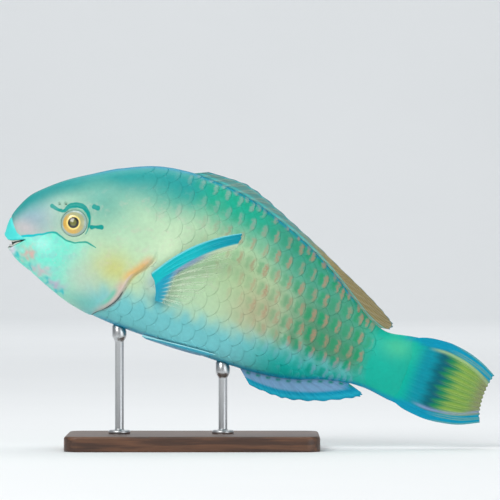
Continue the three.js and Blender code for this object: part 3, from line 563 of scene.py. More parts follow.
def face_marks(s, t):
    """Distances from the edges of the face's sharp marks and painted shade, negative inside them, in mm.

    The thinnest lines store the signed distance from their middle and half their width, which
    stays sharp between the points of the mesh.
    """
    share = np.linspace(0, 1, 45)
    band_radii = np.interp(share, np.linspace(0, 1, len(EYE_BAND)), EYE_BAND_RADII)
    teal = np.minimum(stroke(s, t, spline(EYE_BAND, share), band_radii), stroke(s, t, EYE_SPOT, 1.45))
    teal = np.minimum(teal, stroke(s, t, EYE_BAR, EYE_BAR_RADII))
    teal = np.maximum(teal, EYE_RADIUS + 0.25 - np.hypot(s - EYE_PLACE[0], t - EYE_PLACE[1]))
    starts, ends = UNDER_EYE[0][0], UNDER_EYE[-1][0]
    cyan_reach = np.interp(s, [p[0] for p in UNDER_EYE], UNDER_EYE_RADII)
    on_lip = np.minimum(line_height(LIP_FOLD, s) - t, t - line_height(UPPER_LIP, s) + 0.6)
    lip = np.maximum(-on_lip, s - 12.6)
    # painted shade: a dark fill inside the mouth's slot and the nostril pits
    dark = np.minimum(-0.2 - in_mouth(s, t), from_nostril(s, t) - 0.45)
    fleck = blob(s, t, (28, -6), (17, 10)) + 0.7 * blob(s, t, (50, -8), (12, 12))
    clouds = 0.32 * smooth(at_place(s)[1] - t, 8, 24)
    return {
        "fleck_mask": np.clip(fleck, 0, 1),
        "cloud_mask": clouds * smooth(s, 14, 30) * (1 - smooth(s, 112, 140)) * smooth(t, -8, 8),
        "teal_mark": teal + 0.12 * mottle(s, t, 4.0, 32),
        "cyan_side": t - line_height(UNDER_EYE_CURVE, s) + 0.1 * mottle(s, t, 6.0, 31),
        "cyan_reach": cyan_reach - 2 * np.maximum(np.maximum(starts - s, s - ends), 0),
        # painted shade: a dark line in the gap under the gill cover's free edge, on its lower part
        "slit_side": ahead_of_gill(s, t) + 0.9,
        "slit_reach": 0.42 - 3 * smooth(t, -13, -4),
        "lip_mark": lip,
        "dark_mark": dark,
        "along": s,
    }


print("washes and marks are ready;", len(EYE_BAND), "points draw the band over the eye")

# %% [markdown]
# ## Shader maths in plain Python
#
# Node trees are tedious to wire by hand. This small class wraps one output of a node so that Python's
# own signs add Math nodes, and one method makes every other kind of node: its settings are set first,
# then its inputs.

# %% Material helpers
class Field:
    """One number or colour that varies over a surface, and that Python's arithmetic can be used on."""

    def __init__(self, finish, socket):
        self.finish, self.socket = finish, socket

    def maths(self, operation, *terms):
        inputs = dict(enumerate(terms))
        return self.finish.node("ShaderNodeMath", {"operation": operation}, inputs)

    def __add__(self, other):
        return self.maths("ADD", self, other)

    def __sub__(self, other):
        return self.maths("SUBTRACT", self, other)

    def __rsub__(self, other):
        return self.maths("SUBTRACT", other, self)

    def __mul__(self, other):
        return self.maths("MULTIPLY", self, other)

    def __pow__(self, other):
        return self.maths("POWER", self, other)

    __radd__, __rmul__ = __add__, __mul__

    def sine(self):
        return self.maths("SINE", self)

    def size(self):
        return self.maths("ABSOLUTE", self)

    def smooth(self, low, high):
        """0 below low and 1 above high, with an S-shaped rise."""
        return self.finish.node("ShaderNodeMapRange", {"interpolation_type": "SMOOTHSTEP"},
                                {"Value": self, "From Min": low, "From Max": high})

    def inside(self, edge=0.0, blur=0.25):
        """1 where a distance is under the edge, with a soft border."""
        return 1 - self.smooth(edge - blur, edge + blur)


class Finish:
    """A material built from a Principled shader, with short ways to read what a mesh carries."""

    def __init__(self, name, **constants):
        self.material = bpy.data.materials.new(name)
        self.material.use_nodes = True
        self.tree = self.material.node_tree
        self.shader = self.tree.nodes["Principled BSDF"]
        for key, value in constants.items():
            self.shader.inputs[key.replace("_", " ")].default_value = value

    def node(self, kind, settings=None, inputs=None, output=0):
        """Any node: its settings first, then values or links of its sockets. Gives one output."""
        made = self.tree.nodes.new(kind)
        for key, value in (settings or {}).items():
            if key == "stops":
                while len(made.color_ramp.elements) < len(value):
                    made.color_ramp.elements.new(1.0)
                for element, (position, colour) in zip(made.color_ramp.elements, value):
                    element.position, element.color = position, (*colour, 1)
            else:
                setattr(made, key, value)
        for key, value in (inputs or {}).items():
            if isinstance(value, Field):
                self.tree.links.new(value.socket, made.inputs[key])
            else:
                made.inputs[key].default_value = value
        return Field(self, made.outputs[output])

    def number(self, name):
        return self.node("ShaderNodeAttribute", {"attribute_name": name}, output=2)

    def colour(self, name):
        return self.node("ShaderNodeAttribute", {"attribute_name": name}, output=0)

    def place(self):
        return self.node("ShaderNodeTexCoord", output=3)

    def uv(self, name):
        """The two coordinates of a UV map."""
        vector = self.node("ShaderNodeUVMap", {"uv_map": name})
        return [self.node("ShaderNodeSeparateXYZ", None, {0: vector}, output=k) for k in (0, 1)]

    def noise(self, scale, detail=3.0, roughness=0.55, vector=None):
        inputs = {"Vector": vector or self.place(), "Scale": scale,
                  "Detail": detail, "Roughness": roughness}
        return self.node("ShaderNodeTexNoise", None, inputs)

    def stretched(self, vector, scale):
        return self.node("ShaderNodeVectorMath", {"operation": "MULTIPLY"}, {0: vector, 1: scale})

    def mix(self, a, b, share):
        """From colour a to colour b by a share."""
        full = [(*c, 1) if not isinstance(c, Field) else c for c in (a, b)]
        return self.node("ShaderNodeMix", {"data_type": "RGBA"},
                         {0: share, 6: full[0], 7: full[1]}, output=2)

    def shade(self, colour, amount):
        """A colour made lighter or darker by a factor that varies."""
        grey = self.node("ShaderNodeCombineColor", None, {0: amount, 1: amount, 2: amount})
        return self.node("ShaderNodeMix", {"data_type": "RGBA", "blend_type": "MULTIPLY"},
                         {0: 1.0, 6: colour, 7: grey}, output=2)

    def bump(self, height, distance, strength=1.0):
        return self.node("ShaderNodeBump", None,
                         {"Height": height, "Distance": distance, "Strength": strength})

    def feed(self, **links):
        """Links fields to the shader's sockets and gives the finished material."""
        for key, value in links.items():
            self.tree.links.new(value.socket, self.shader.inputs[key.replace("_", " ")])
        return self.material


# %% [markdown]
# ## Living skin
#
# Wet fish skin is a soft colour under a thin clear film. The clear film is the shader's coat, the
# colour comes from the washes on the mesh, and fine noise keeps either from looking like plastic. The
# same recipe paints the skin and the scales. Only the scales add their dashes, because those sit on
# each scale.

# %% Skin and scale finishes
DASH_ROSE, DASH_LILAC = srgb(172, 136, 110), srgb(122, 160, 186)
SPOT_GREEN, SPOT_TEAL = srgb(20, 150, 100), srgb(0, 160, 144)


def skin_colour(finish):
    """The washes, a fine mottling, the sharp marks of the face, and painted shade in the mouth, the
    nostrils and under the gill cover's edge.
    """
    mottle = finish.noise(420.0, 4.0)
    broad = finish.noise(90.0, 3.0)
    colour = finish.shade(finish.colour("ground"), 0.80 + mottle * 0.22 + broad * 0.10)
    clouds = finish.noise(150.0, 5.0, 0.65).smooth(0.50, 0.70)
    colour = finish.mix(colour, srgb(206, 196, 184), clouds * finish.number("cloud_mask"))
    fleck = finish.noise(640.0, 4.0, 0.6).smooth(0.53, 0.66) * finish.number("fleck_mask")
    colour = finish.mix(colour, srgb(206, 206, 206), fleck * 0.28)
    cyan_share = finish.number("along").smooth(14, 34)
    cyan = finish.mix(srgb(20, 196, 204), srgb(34, 164, 146), cyan_share)
    cyan_line = finish.number("cyan_side").size() - finish.number("cyan_reach")
    colour = finish.mix(colour, cyan, cyan_line.inside(0.0, 0.3))
    colour = finish.mix(colour, srgb(80, 220, 216), finish.number("lip_mark").inside(0.0, 0.4))
    colour = finish.mix(colour, srgb(8, 152, 142), finish.number("teal_mark").inside(0.0, 0.3))
    # painted shade in the gap under the gill cover's free edge
    gill_shade_line = finish.number("slit_side").size() - finish.number("slit_reach")
    colour = finish.mix(colour, srgb(44, 62, 66), gill_shade_line.inside(0.0, 0.3) * 0.85)
    # painted shade in the mouth's slot and the nostrils
    return finish.mix(colour, srgb(34, 44, 46), finish.number("dark_mark").inside(0.0, 0.35) * 0.9)


def fish_skin_finish():
    finish = Finish("fish_skin", Coat_Weight=0.2, Coat_Roughness=0.2, Specular_IOR_Level=0.12)
    fine = finish.noise(900.0, 3.0)
    pores = finish.noise(2600.0, 2.0)
    height = fine * 0.7 + pores * 0.3
    roughness = 0.36 + finish.noise(300.0, 2.0) * 0.14
    return finish.feed(Base_Color=skin_colour(finish), Roughness=roughness,
                       Normal=finish.bump(height, 0.00012, 0.55))


def scale_finish():
    """The skin's colour with a rosy dash and a green spot on each scale, and fine growth rings."""
    finish = Finish("fish_scale", Coat_Weight=0.2, Coat_Roughness=0.18, Specular_IOR_Level=0.12)
    along, across = finish.uv("ScalePlace")
    wobble = (finish.noise(330.0, 3.0) - 0.5) * 0.42
    middle = 1 - ((across - 0.5) + wobble * 0.5).size().smooth(0.16, 0.34)
    dash = (along - 0.84 + wobble).size().inside(0.085, 0.07) * middle
    spot = (along - 0.58 + wobble).size().inside(0.12, 0.1) * middle
    grain = 0.72 + (finish.noise(1500.0, 2.0) - 0.5) * 1.5
    colour = skin_colour(finish)
    colour = finish.mix(colour, finish.colour("spot"), spot * finish.number("spot_strength"))
    colour = finish.mix(colour, finish.colour("dash"), dash * grain * finish.number("dash_strength"))
    rings = (finish.number("ring") * 52.0).sine()
    height = rings * 0.12 + finish.noise(1100.0, 3.0) * 0.5
    roughness = 0.34 + finish.noise(350.0, 2.0) * 0.14
    return finish.feed(Base_Color=colour, Roughness=roughness, Normal=finish.bump(height, 0.00010, 0.5))


SKIN, SCALE = fish_skin_finish(), scale_finish()
print("finishes:", SKIN.name, "and", SCALE.name)

# %% [markdown]
# ## One skin from snout to tail
#
# On the plain model the head, jaw, gill covers, trunk and stalk are separate solids with thin gaps. A
# living fish has one skin, so one tube of rings covers them all. The rings are close together at the
# mouth and the gill cover, where the relief is fine, and wider over the smooth flank.

# %% The skin
AROUND, SIDE_DENSITY = 250, 0.16


def ring_places():
    """Parameters of the rings, spaced by a step along the outline that changes from head to tail."""
    u = np.linspace(0, KNOTS[-1], 6000)
    s, back, belly = PROFILE[:3]
    moves = np.sqrt(np.diff(s) ** 2 + np.diff(back) ** 2 + np.diff(belly) ** 2)
    way = np.concatenate([[0], np.cumsum(moves)])
    flank = 2.2 * smooth(s, 92, 108) * (1 - smooth(s, 210, 222))
    step = 0.36 + 0.06 * smooth(s, 11, 20) + 0.22 * smooth(s, 50, 58) + flank
    step = step + 0.4 * smooth(s, 210, 222)
    count = np.concatenate([[0], np.cumsum(np.diff(way) / step[1:])])
    return np.interp(np.arange(1, int(count[-1])), count, u)


def skin_points():
    """Rings of the body moved along their normals by the relief, then the two poles."""
    angle = np.linspace(0, 2 * np.pi, AROUND, endpoint=False)
    angle = angle + SIDE_DENSITY * np.sin(2 * angle)  # more points on the sides, where the face is
    base = section(body_values(ring_places())[:, :, None], angle[None, :])
    normal = surface_normals(base, wrap=True)
    outward = np.sign(np.sum(normal[:, AROUND // 4, 1]) * -1)
    moved = base + normal * outward * relief(base[..., 0], base[..., 2])[..., None]
    muzzle, end = STATIONS[0], STATIONS[-1]
    poles = np.array([[muzzle[0] + HEAD_DEPTH, 0, muzzle[4]], [end[0], 0, end[4]]])
    return base, moved, poles


base, moved, poles = skin_points()
flat = np.concatenate([base.reshape(-1, 3), poles])
skin_mesh = make_mesh(
    "fish_skin", to_scene(np.concatenate([moved.reshape(-1, 3), poles])), *tube_faces(*base.shape[:2]),
    numbers=face_marks(flat[:, 0], flat[:, 2]), colours={"ground": ground_colour(flat[:, 0], flat[:, 2])},
)
add_piece(skin_mesh, SKIN, "body_skin", "head", "lower_jaw", "gill_cover_left", "gill_cover_right",
          "trunk", "tail_stalk")

# %% [markdown]
# ## A coat of large scales
#
# A parrotfish has few, large scales: about eight rows on a side, and two dozen along it. They lie like
# roof tiles, each row shifted by half a scale. A texture could paint them, but real tiles catch the
# light along their free edges, so each scale is a thin closed shell. All of one side are computed at
# once: a lattice of places on the body's surface, measured along the body and round it, and one rounded
# tile that is laid on every place.

# %% Places on the body's surface
ROW_STEP, COLUMN_STEP = 11.0, 8.0
SCALE_LENGTH, SCALE_HEIGHT = 12.5, 15.0
TABLE_S = np.linspace(40, 252, 213)
TABLE_ANGLE = np.linspace(0, np.pi, 241)

rings = section(at_place(TABLE_S)[:, :, None], TABLE_ANGLE[None, :])
arc = np.concatenate([np.zeros((len(TABLE_S), 1)),
                      np.cumsum(np.linalg.norm(np.diff(rings, axis=1), axis=-1), axis=1)], axis=1)
GIRTH = arc[:, -1]
SHARES = np.linspace(0, 1, 241)
ANGLE_OF_SHARE = np.stack([np.interp(SHARES, row / row[-1], TABLE_ANGLE) for row in arc])
lateral_height = 13.0 - 12.5 * smooth(TABLE_S, 80, 235)
SHARE_OF_MIDDLE = np.array([np.interp(-h, -ring[:, 2], row / row[-1])
                            for ring, row, h in zip(rings, arc, lateral_height)])


def on_body(s, up):
    """A point of the left side, from its place along the body and its distance above the middle row.

    The distance runs round the body. One that passes the back or belly comes down on the other side.
    """
    s = np.clip(s, TABLE_S[0], TABLE_S[-1] - 1e-6)
    girth = np.interp(s, TABLE_S, GIRTH)
    share = np.interp(s, TABLE_S, SHARE_OF_MIDDLE) - up / girth
    other_side = (share < 0) | (share > 1)
    share = np.where(share < 0, -share, np.where(share > 1, 2 - share, share))
    i = np.clip(((s - TABLE_S[0]) / (TABLE_S[1] - TABLE_S[0])).astype(int), 0, len(TABLE_S) - 2)
    j = np.clip((share * (len(SHARES) - 1)).astype(int), 0, len(SHARES) - 2)
    a = (s - TABLE_S[i]) / (TABLE_S[1] - TABLE_S[0])
    b = share * (len(SHARES) - 1) - j
    table = ANGLE_OF_SHARE
    angle = ((1 - a) * ((1 - b) * table[i, j] + b * table[i, j + 1])
             + a * ((1 - b) * table[i + 1, j] + b * table[i + 1, j + 1]))
    point = section(at_place(s), angle)
    point[..., 1] = np.where(other_side, -point[..., 1], point[..., 1])
    return point


def on_skin(s, up, height):
    """A point at a height above the body's form. Two short steps over the form give its normal."""
    step = 0.35
    point = on_body(s, up)
    along = on_body(s + step, up) - on_body(s - step, up)
    across = on_body(s, up + step) - on_body(s, up - step)
    normal = np.cross(along, across)
    normal /= np.maximum(np.linalg.norm(normal, axis=-1, keepdims=True), 1e-9)
    return point + normal * height[..., None], point


print("half the girth at the shoulder:", round(float(np.interp(88, TABLE_S, GIRTH)), 1), "mm")

# %% Lattice of the scales
TILE_ROWS, TILE_COLUMNS, TILE_WIDEST = 15, 15, 0.52
BAKE_PATCH = 0.003  # side of a scale's own patch on the map that bakes its look
FIRST_SCALE, LAST_SCALE = 37.25, 236.0


def scale_places():
    """Roots of the scales of one side: rows along the body, every second one shifted by half a scale."""
    row, k = (grid.ravel() for grid in np.meshgrid(np.arange(-7, 8), np.arange(26)))
    s = FIRST_SCALE + COLUMN_STEP * (k + 0.5 * (row % 2))
    size = 1 - 0.2 * smooth(s, 190, 235) - 0.14 * (row < 0) * smooth(s, 120, 185)
    up = row * ROW_STEP * size
    share = np.interp(s, TABLE_S, SHARE_OF_MIDDLE) - up / np.interp(s, TABLE_S, GIRTH)
    point = on_body(s + SCALE_LENGTH, up)
    keep = (share > -0.03) & (share < 1.03) & (s < LAST_SCALE)
    keep &= ahead_of_coat(point[:, 0], point[:, 2]) < -1.5
    return s[keep], up[keep], size[keep]


def tile():
    """The local form of one scale on a grid: how far back, how far across and how high each point lies.

    In front of its widest place it narrows by a square law. Behind, each line across bends forwards
    towards its ends, which rounds the free edge. That edge stands highest.
    """
    a, b = np.meshgrid(np.linspace(0, 1, TILE_ROWS), np.linspace(-1, 1, TILE_COLUMNS), indexing="ij")
    back = a * (1 - 0.36 * np.abs(b) ** 2.2)
    narrow = np.where(back < TILE_WIDEST, 1 - 0.25 * ((TILE_WIDEST - back) / TILE_WIDEST) ** 2, 1.0)
    return back, b * narrow * 0.5, a


def scale_side(side):
    """All scales of one side as one mesh, laid like tiles with their free edges to the rear."""
    rng = np.random.default_rng(7 if side < 0 else 8)
    s0, up0, size = scale_places()
    count = len(s0)
    s0 = s0 + rng.normal(0, 0.16, count)
    up0 = up0 + rng.normal(0, 0.18, count)
    hue = rng.uniform(-1, 1, count)
    back, across, a = tile()
    s = s0[:, None, None] + back * (SCALE_LENGTH * size)[:, None, None]
    up = up0[:, None, None] + across * (SCALE_HEIGHT * size)[:, None, None]
    rim = np.maximum(smooth(a, 0.88, 1.0), smooth(np.abs(across) * 2, 0.84, 1.0) * a)
    strong = 0.36 + 0.54 * smooth(s, 105, 165)
    lift = (0.15 * a + 0.05 * (1 - (2 * across) ** 2) * a - 0.04 * rim) * strong
    height = lift - COAT_DEPTH + 0.04 - 0.09 * strong
    _, form = on_skin(s, up, height)
    form_s, form_t = form[..., 0], form[..., 2]
    ahead = ahead_of_coat(form_s, form_t)
    hidden = smooth(ahead_of_gill(form_s, form_t), -1.9, -0.5) * (1 - smooth(form_t, 9, 26))
    fading = smooth(ahead, -24, 0) * smooth(form_t, 6, 22)
    height = height - 2.2 * hidden - 0.2 * fading * a + pad_swell(form_s, form_t)
    height = height - 0.22 * smooth(form_s, 228, 242)
    first = smooth(ahead, -20, -6)
    height = height - 0.4 * first * (1 - smooth(a, 0.1, 0.55))
    thin = 0.15 * (1 - 0.5 * rim) * strong
    top, form = on_skin(s, up, height)
    under, _ = on_skin(s, up, height - thin)
    for points in (top, under, form):
        points[..., 1] *= -side
    both = np.concatenate([top.reshape(count, -1, 3), under.reshape(count, -1, 3)], axis=1)
    twice = np.concatenate([form.reshape(count, -1, 3)] * 2, axis=1).reshape(-1, 3)
    quads = slab_quads(TILE_ROWS, TILE_COLUMNS)
    quads = (quads[None] + (np.arange(count) * both.shape[1])[:, None, None]).reshape(-1, 4)
    local = np.stack([back, across + 0.5], axis=-1).reshape(-1, 2)
    local = np.tile(np.concatenate([local, local]), (count, 1))
    ring = np.tile(np.concatenate([np.hypot(a, across * 1.2).ravel()] * 2), count)
    root = np.stack([(s0 - TABLE_S[0]) / (TABLE_S[-1] - TABLE_S[0]) * 0.94 + 0.03,
                     0.25 + side * -0.22 * (0.5 + up0 / 140.0) + 0.25 * (side > 0)], axis=-1)
    bake = np.repeat(root, both.shape[1], axis=0) + (local - 0.5) * BAKE_PATCH
    numbers, colours = scale_colours(twice, np.repeat(hue, both.shape[1]))
    mesh = make_mesh(
        "scales_left" if side < 0 else "scales_right", to_scene(both.reshape(-1, 3)), quads,
        numbers={**numbers, "ring": ring}, colours=colours, uvs={"ScalePlace": local, "OFBake": bake},
    )
    return mesh, count


def scale_colours(form, hue):
    """The body's washes and marks at each point, and the looks of the dashes and spots."""
    s, t = form[:, 0], form[:, 2]
    low = 1 - smooth(t, -14, -3)
    start = smooth(s + 0.95 * (t - 10) + 3 * mottle(s, t, 12.0, 41), 124, 168)
    rear = 1 - smooth(s, 222, 228)
    belly = smooth(t, -26, -19)
    dash = wash(np.broadcast_to(DASH_ROSE, (len(s), 3)), DASH_LILAC, low)
    dash = wash(dash, srgb(136, 168, 156), smooth(t, 38, 56) * (1 - smooth(s, 130, 170)))
    spot = wash(np.broadcast_to(SPOT_GREEN, (len(s), 3)), SPOT_TEAL, low)
    spot = wash(spot, srgb(10, 158, 120), smooth(t, 38, 56) * (1 - smooth(s, 130, 170)))
    vary = 1 + 0.35 * hue
    numbers = face_marks(s, t)
    numbers["dash_strength"] = np.clip(0.9 * start * rear * belly * vary * (1 - 0.4 * low), 0, 1)
    rearward = 0.35 + 0.4 * smooth(s, 150, 200)
    numbers["spot_strength"] = np.clip(start * rear * belly * rearward * vary, 0, 1)
    return numbers, {"ground": ground_colour(s, t), "dash": dash, "spot": spot}


for side in (-1, 1):
    scales, count = scale_side(side)
    add_piece(scales, SCALE, "body_skin")
    print(count, "scales on this side")

# %% [markdown]
# ## Fins
#
# A fin is a fan of bony rays with a thin skin between them. Each one here is a slab: a middle surface
# with `u` across the rays and `v` from root to margin, and a thickness that swells at every ray.
# Towards the margin a ray splits in two and then in four, as soft rays do. The margin is drawn in a
# little between the rays.

# %% Building a fin
MEMBRANE = 0.16


def ray_swell(u, v, rays):
    """How much a point belongs to a ray, 0 to 1: a bell round each ray that forks as v grows."""
    place = u * (rays - 1)
    gap = place - np.round(place)
    width = 0.17 - 0.05 * v
    fork = 0.16 * smooth(v, 0.35, 0.75)
    twig = 0.075 * smooth(v, 0.65, 0.95)
    narrow = width * (1 - 0.5 * smooth(v, 0.4, 0.8))
    best = np.zeros(np.broadcast(u, v).shape)
    for side in (-1, 1):
        for small in (-1, 1):
            best = np.maximum(best, hump(gap - side * fork - small * twig, narrow))
    return best


def fin_sheet(name, at, rays, per_ray, rows, depth, paint, sideways=True, fringe=0.7):
    """A closed fin: the middle surface at(u, v), thickened along its normal by the membrane and the rays.

    The depth function gives half the thickness of the skin and of the rays' ridges. The paint
    function gives the numbers and colours of each point from u, v, its place in the side view and
    its distance to the margin.
    """
    across = np.linspace(0, 1, (rays - 1) * per_ray + 1)
    u, v = np.meshgrid(across, np.linspace(0, 1, rows), indexing="ij")
    length = np.linalg.norm(at(u[:, -1], v[:, -1]) - at(u[:, 0], v[:, 0]), axis=-1)[:, None]
    swell = ray_swell(u, v, rays)
    between_rays = 0.5 - 0.5 * np.cos(u[:, -1:] * (rays - 1) * 2 * np.pi)
    drawn = v * (1 - fringe * between_rays * smooth(u[:, -1:], 0.02, 0.16) / np.maximum(length, 2))
    middle = at(u, drawn)
    skin_half, ridge = depth(u, v)
    half = skin_half + ridge * swell
    out = np.array([0.0, 1.0, 0.0]) if sideways else surface_normals(middle)
    points = np.stack([middle + out * half[..., None], middle - out * half[..., None]])
    edge = (1 - drawn) * length
    numbers, colours = paint(u, drawn, middle[..., 0], middle[..., 2], edge)
    numbers = {"ray": swell * smooth(v, 0.0, 0.15), "edge": edge, **numbers}
    both = {key: np.concatenate([value.ravel()] * 2) for key, value in numbers.items()}
    hues = {key: np.concatenate([value.reshape(-1, 3)] * 2) for key, value in colours.items()}
    uv = np.stack([u, v], axis=-1).reshape(-1, 2)
    return make_mesh(name, to_scene(points.reshape(-1, 3)), slab_quads(*u.shape),
                     numbers=both, colours=hues, uvs={"RayPlace": np.concatenate([uv, uv])})


def thin_depth(root, ridge):
    """Half thickness that falls from root to membrane, and ridges that rise out of the root."""
    def depth(u, v):
        skin = MEMBRANE + (root - MEMBRANE) * (1 - smooth(v, 0, 0.3))
        return skin, ridge * smooth(v, 0.02, 0.3) * (1 - 0.4 * v)
    return depth


def fin_finish(name, joints):
    """Fin skin: the painted colour, lighter on the rays, with the fine joints of the rays as bump."""
    finish = Finish(name, Coat_Weight=0.1, Coat_Roughness=0.25, Specular_IOR_Level=0.08)
    ray = finish.number("ray")
    mottle = finish.noise(500.0, 3.0)
    colour = finish.shade(finish.colour("ground"), 0.88 + mottle * 0.2)
    colour = finish.mix(colour, finish.colour("ray_colour"), ray * finish.number("ray_strength"))
    along = finish.uv("RayPlace")[1]
    segments = (along * joints).sine()
    height = ray * segments * 0.25 + finish.noise(900.0, 3.0) * 0.5
    roughness = 0.38 + mottle * 0.12
    solid = finish.number("solid")
    alpha = solid + (1 - solid) * ray * 0.3
    return finish.feed(Base_Color=colour, Roughness=roughness, Alpha=alpha,
                       Normal=finish.bump(height, 0.00012, 0.5))


FIN = fin_finish("fin_skin", 420.0)

# %% [markdown]
# ### Back fin and anal fin
#
# Both are folded back along the body. Their root is sunk under the outline, and their margin is a short
# curve of measured points. The back fin carries a thin blue edge over a rosy band that turns orange
# towards the tail, and the anal fin a broad azure edge.

# %% Fins of the middle line
ROOT_SUNK = 3.5
DORSAL_MARGIN = [
    (100, 72.5), (112, 73.3), (124, 73.5), (136, 70.2), (150, 64.6), (165, 58.3), (180, 51.9),
    (195, 45), (210, 38.3), (222, 32.4), (230.5, 27.6), (234.4, 24.6), (233.4, 21.6),
]
ANAL_MARGIN = [
    (166, -37.7), (174, -38.6), (183, -38.8), (191, -38), (201, -35.4), (212, -31.4),
    (222, -26.6), (229, -22.8), (231.2, -20.8), (230.4, -19.4),
]


def middle_fin(start, end, margin, edge_row, sunk, wave):
    """A folded fin: straight lines from the sunk root to the margin, with a slight sideways wave."""
    def at(u, v):
        s = start + (end - start) * u
        root = np.stack([s, at_place(s)[edge_row] - sunk], axis=-1)
        rim = spline(margin, u)
        flat = root + (rim - root) * v[..., None]
        lean = wave * np.sin(u * 21.0) * v**2
        return np.stack([flat[..., 0], lean, flat[..., 1]], axis=-1)
    return at


def paint_dorsal(u, v, s, t, edge):
    above = t - at_place(s)[1]
    c = np.broadcast_to(srgb(96, 150, 146), s.shape + (3,))
    c = wash(c, srgb(160, 146, 102), smooth(s, 156, 190))
    c = wash(c, srgb(84, 200, 196), hump(above - 0.5, 0.7) * 0.85)
    c = wash(c, srgb(70, 196, 200), hump(edge - 1.6, 0.7) * (1 - smooth(s, 120, 190)) * 0.6)
    c = wash(c, srgb(0, 120, 144), 1 - smooth(edge, 0.8, 1.4))
    lines = 0.5 + 0.5 * np.sin(above * 5.2)
    c = wash(c, srgb(92, 84, 62), lines * smooth(s, 180, 205) * smooth(edge, 1.2, 2.0) * 0.6)
    return ({"ray_strength": 0.30 + 0 * s, "solid": 1 + 0 * s},
            {"ground": c, "ray_colour": np.broadcast_to(srgb(184, 176, 150), s.shape + (3,))})


def paint_anal(u, v, s, t, edge):
    below = at_place(s)[2] - t
    c = np.broadcast_to(srgb(120, 164, 200), s.shape + (3,))
    c = wash(c, AZURE, np.maximum(smooth(v, 0.6, 0.72), smooth(s, 216, 224)))
    c = wash(c, srgb(40, 186, 210), hump(v - 0.86, 0.07) * 0.6)
    dashes = smooth(np.sin(s * 1.05), -0.1, 0.5)
    c = wash(c, srgb(0, 140, 122), hump(below - 0.8, 0.9) * dashes)
    return ({"ray_strength": 0.2 * (1 - smooth(v, 0.55, 0.7)), "solid": 1 + 0 * s},
            {"ground": c, "ray_colour": np.broadcast_to(srgb(120, 150, 200), s.shape + (3,))})


dorsal = fin_sheet("fin_dorsal", middle_fin(84, 222, DORSAL_MARGIN, 1, ROOT_SUNK, 0.5), 19, 14, 34,
                   thin_depth(0.8, 0.5), paint_dorsal, fringe=0.9)
anal = fin_sheet("fin_anal", middle_fin(154, 214, ANAL_MARGIN, 2, -ROOT_SUNK, 0.4), 12, 14, 34,
                 thin_depth(0.8, 0.5), paint_anal, fringe=0.9)
add_piece(dorsal, FIN, "edge_fin", "dorsal_fin")
add_piece(anal, FIN, "edge_fin", "anal_fin")

# %% [markdown]
# ### Tail fin
#
# The tail is a blunt fan with two slightly longer corners. Its rows run between an upper and a lower
# edge curve, and its middle is drawn in behind. The colour runs from turquoise through a dark teal bar
# to leaf yellow, between two azure bands.

# %% The tail
TAIL_UPPER = [
    (243, 18.5), (249.5, 22.0), (256, 24.6), (264, 25.9), (272, 26.2), (282, 24.8), (292, 21.7),
    (301.4, 17),
]
TAIL_LOWER = [
    (243, -14.6), (249.5, -17.6), (256, -19.9), (264, -21), (272, -21.3), (282, -20), (292, -17.4),
    (302.6, -12.3),
]
TAIL_HOLLOW = 2.6


def tail_surface(u, v):
    """Straight lines from the lower edge curve to the upper one, drawn in towards the margin."""
    low, high = spline(TAIL_LOWER, v), spline(TAIL_UPPER, v)
    flat = low + (high - low) * u[..., None]
    s = flat[..., 0] - TAIL_HOLLOW * 4 * u * (1 - u) * v**2
    lean = 0.7 * np.sin(u * 9.0) * smooth(v, 0.3, 1.0)
    return np.stack([s, lean, flat[..., 1]], axis=-1)


def tail_depth(u, v):
    """Half thickness that leaves the stalk at its own slope and thins to the membrane halfway out.

    Across the rays it is rounded like the stalk's section, so that its corners stay inside it.
    """
    rounded = np.sqrt(np.clip(1 - (2 * u - 1) ** 2, 0, 1))
    body = 1.3 * (1 - smooth(v, 0, 0.6)) + 2.0 * (1 - smooth(v, 0, 0.2))
    return MEMBRANE + body * rounded, 0.42 * smooth(v, 0.1, 0.5) * (1 - 0.3 * v)


def paint_tail(u, v, s, t, edge):
    c = ground_colour(np.minimum(s, 251), t)
    streak = 1.5 * np.sin(u * 75.0) + 1.5 * np.sin(u * 31.0 + 1.0)
    c = wash(c, srgb(0, 146, 164), smooth(s, 250, 261))
    c = wash(c, srgb(0, 100, 116), smooth(s + 0.5 * streak, 262, 270))
    c = wash(c, srgb(24, 134, 88), smooth(s + streak, 270, 276))
    c = wash(c, srgb(136, 172, 76), smooth(s + streak, 275, 283) * (0.86 + 0.14 * np.sin(u * 75.0)))
    c = wash(c, srgb(128, 136, 82), smooth(s, 291, 298))
    high, low = spline(TAIL_UPPER, v)[..., 1], spline(TAIL_LOWER, v)[..., 1]
    band = smooth(s, 248, 263)
    c = wash(c, srgb(168, 200, 150), hump(high - t - 6.2, 1.0) * smooth(s, 258, 268) * 0.8)
    c = wash(c, srgb(140, 160, 204), hump(t - low - 6.4, 1.0) * smooth(s, 258, 268) * 0.8)
    c = wash(c, AZURE, band * (1 - smooth(high - t, 4.6, 5.8)))
    c = wash(c, AZURE, band * (1 - smooth(t - low, 4.6, 5.8)))
    clear = smooth(s, 284, 298) * smooth(high - t, 4, 7) * smooth(t - low, 4, 7)
    return ({"ray_strength": 0.25 + 0.2 * smooth(s, 272, 280), "solid": 1 - 0.3 * clear},
            {"ground": c, "ray_colour": wash(c, srgb(170, 194, 112), smooth(s, 268, 280) * 0.8)})


tail = fin_sheet("fin_tail", tail_surface, 13, 20, 66, tail_depth, paint_tail, fringe=0.9)
add_piece(tail, FIN, "tail_fin", "caudal_fin")

# %% [markdown]
# ### Side fins and belly fins
#
# The side fin springs from a fleshy pad behind the gill cover and stands out from the flank. Its
# leading edge is azure with a white rim, and the rest is clear skin between pale rays. The belly fins
# lie folded under the breast.

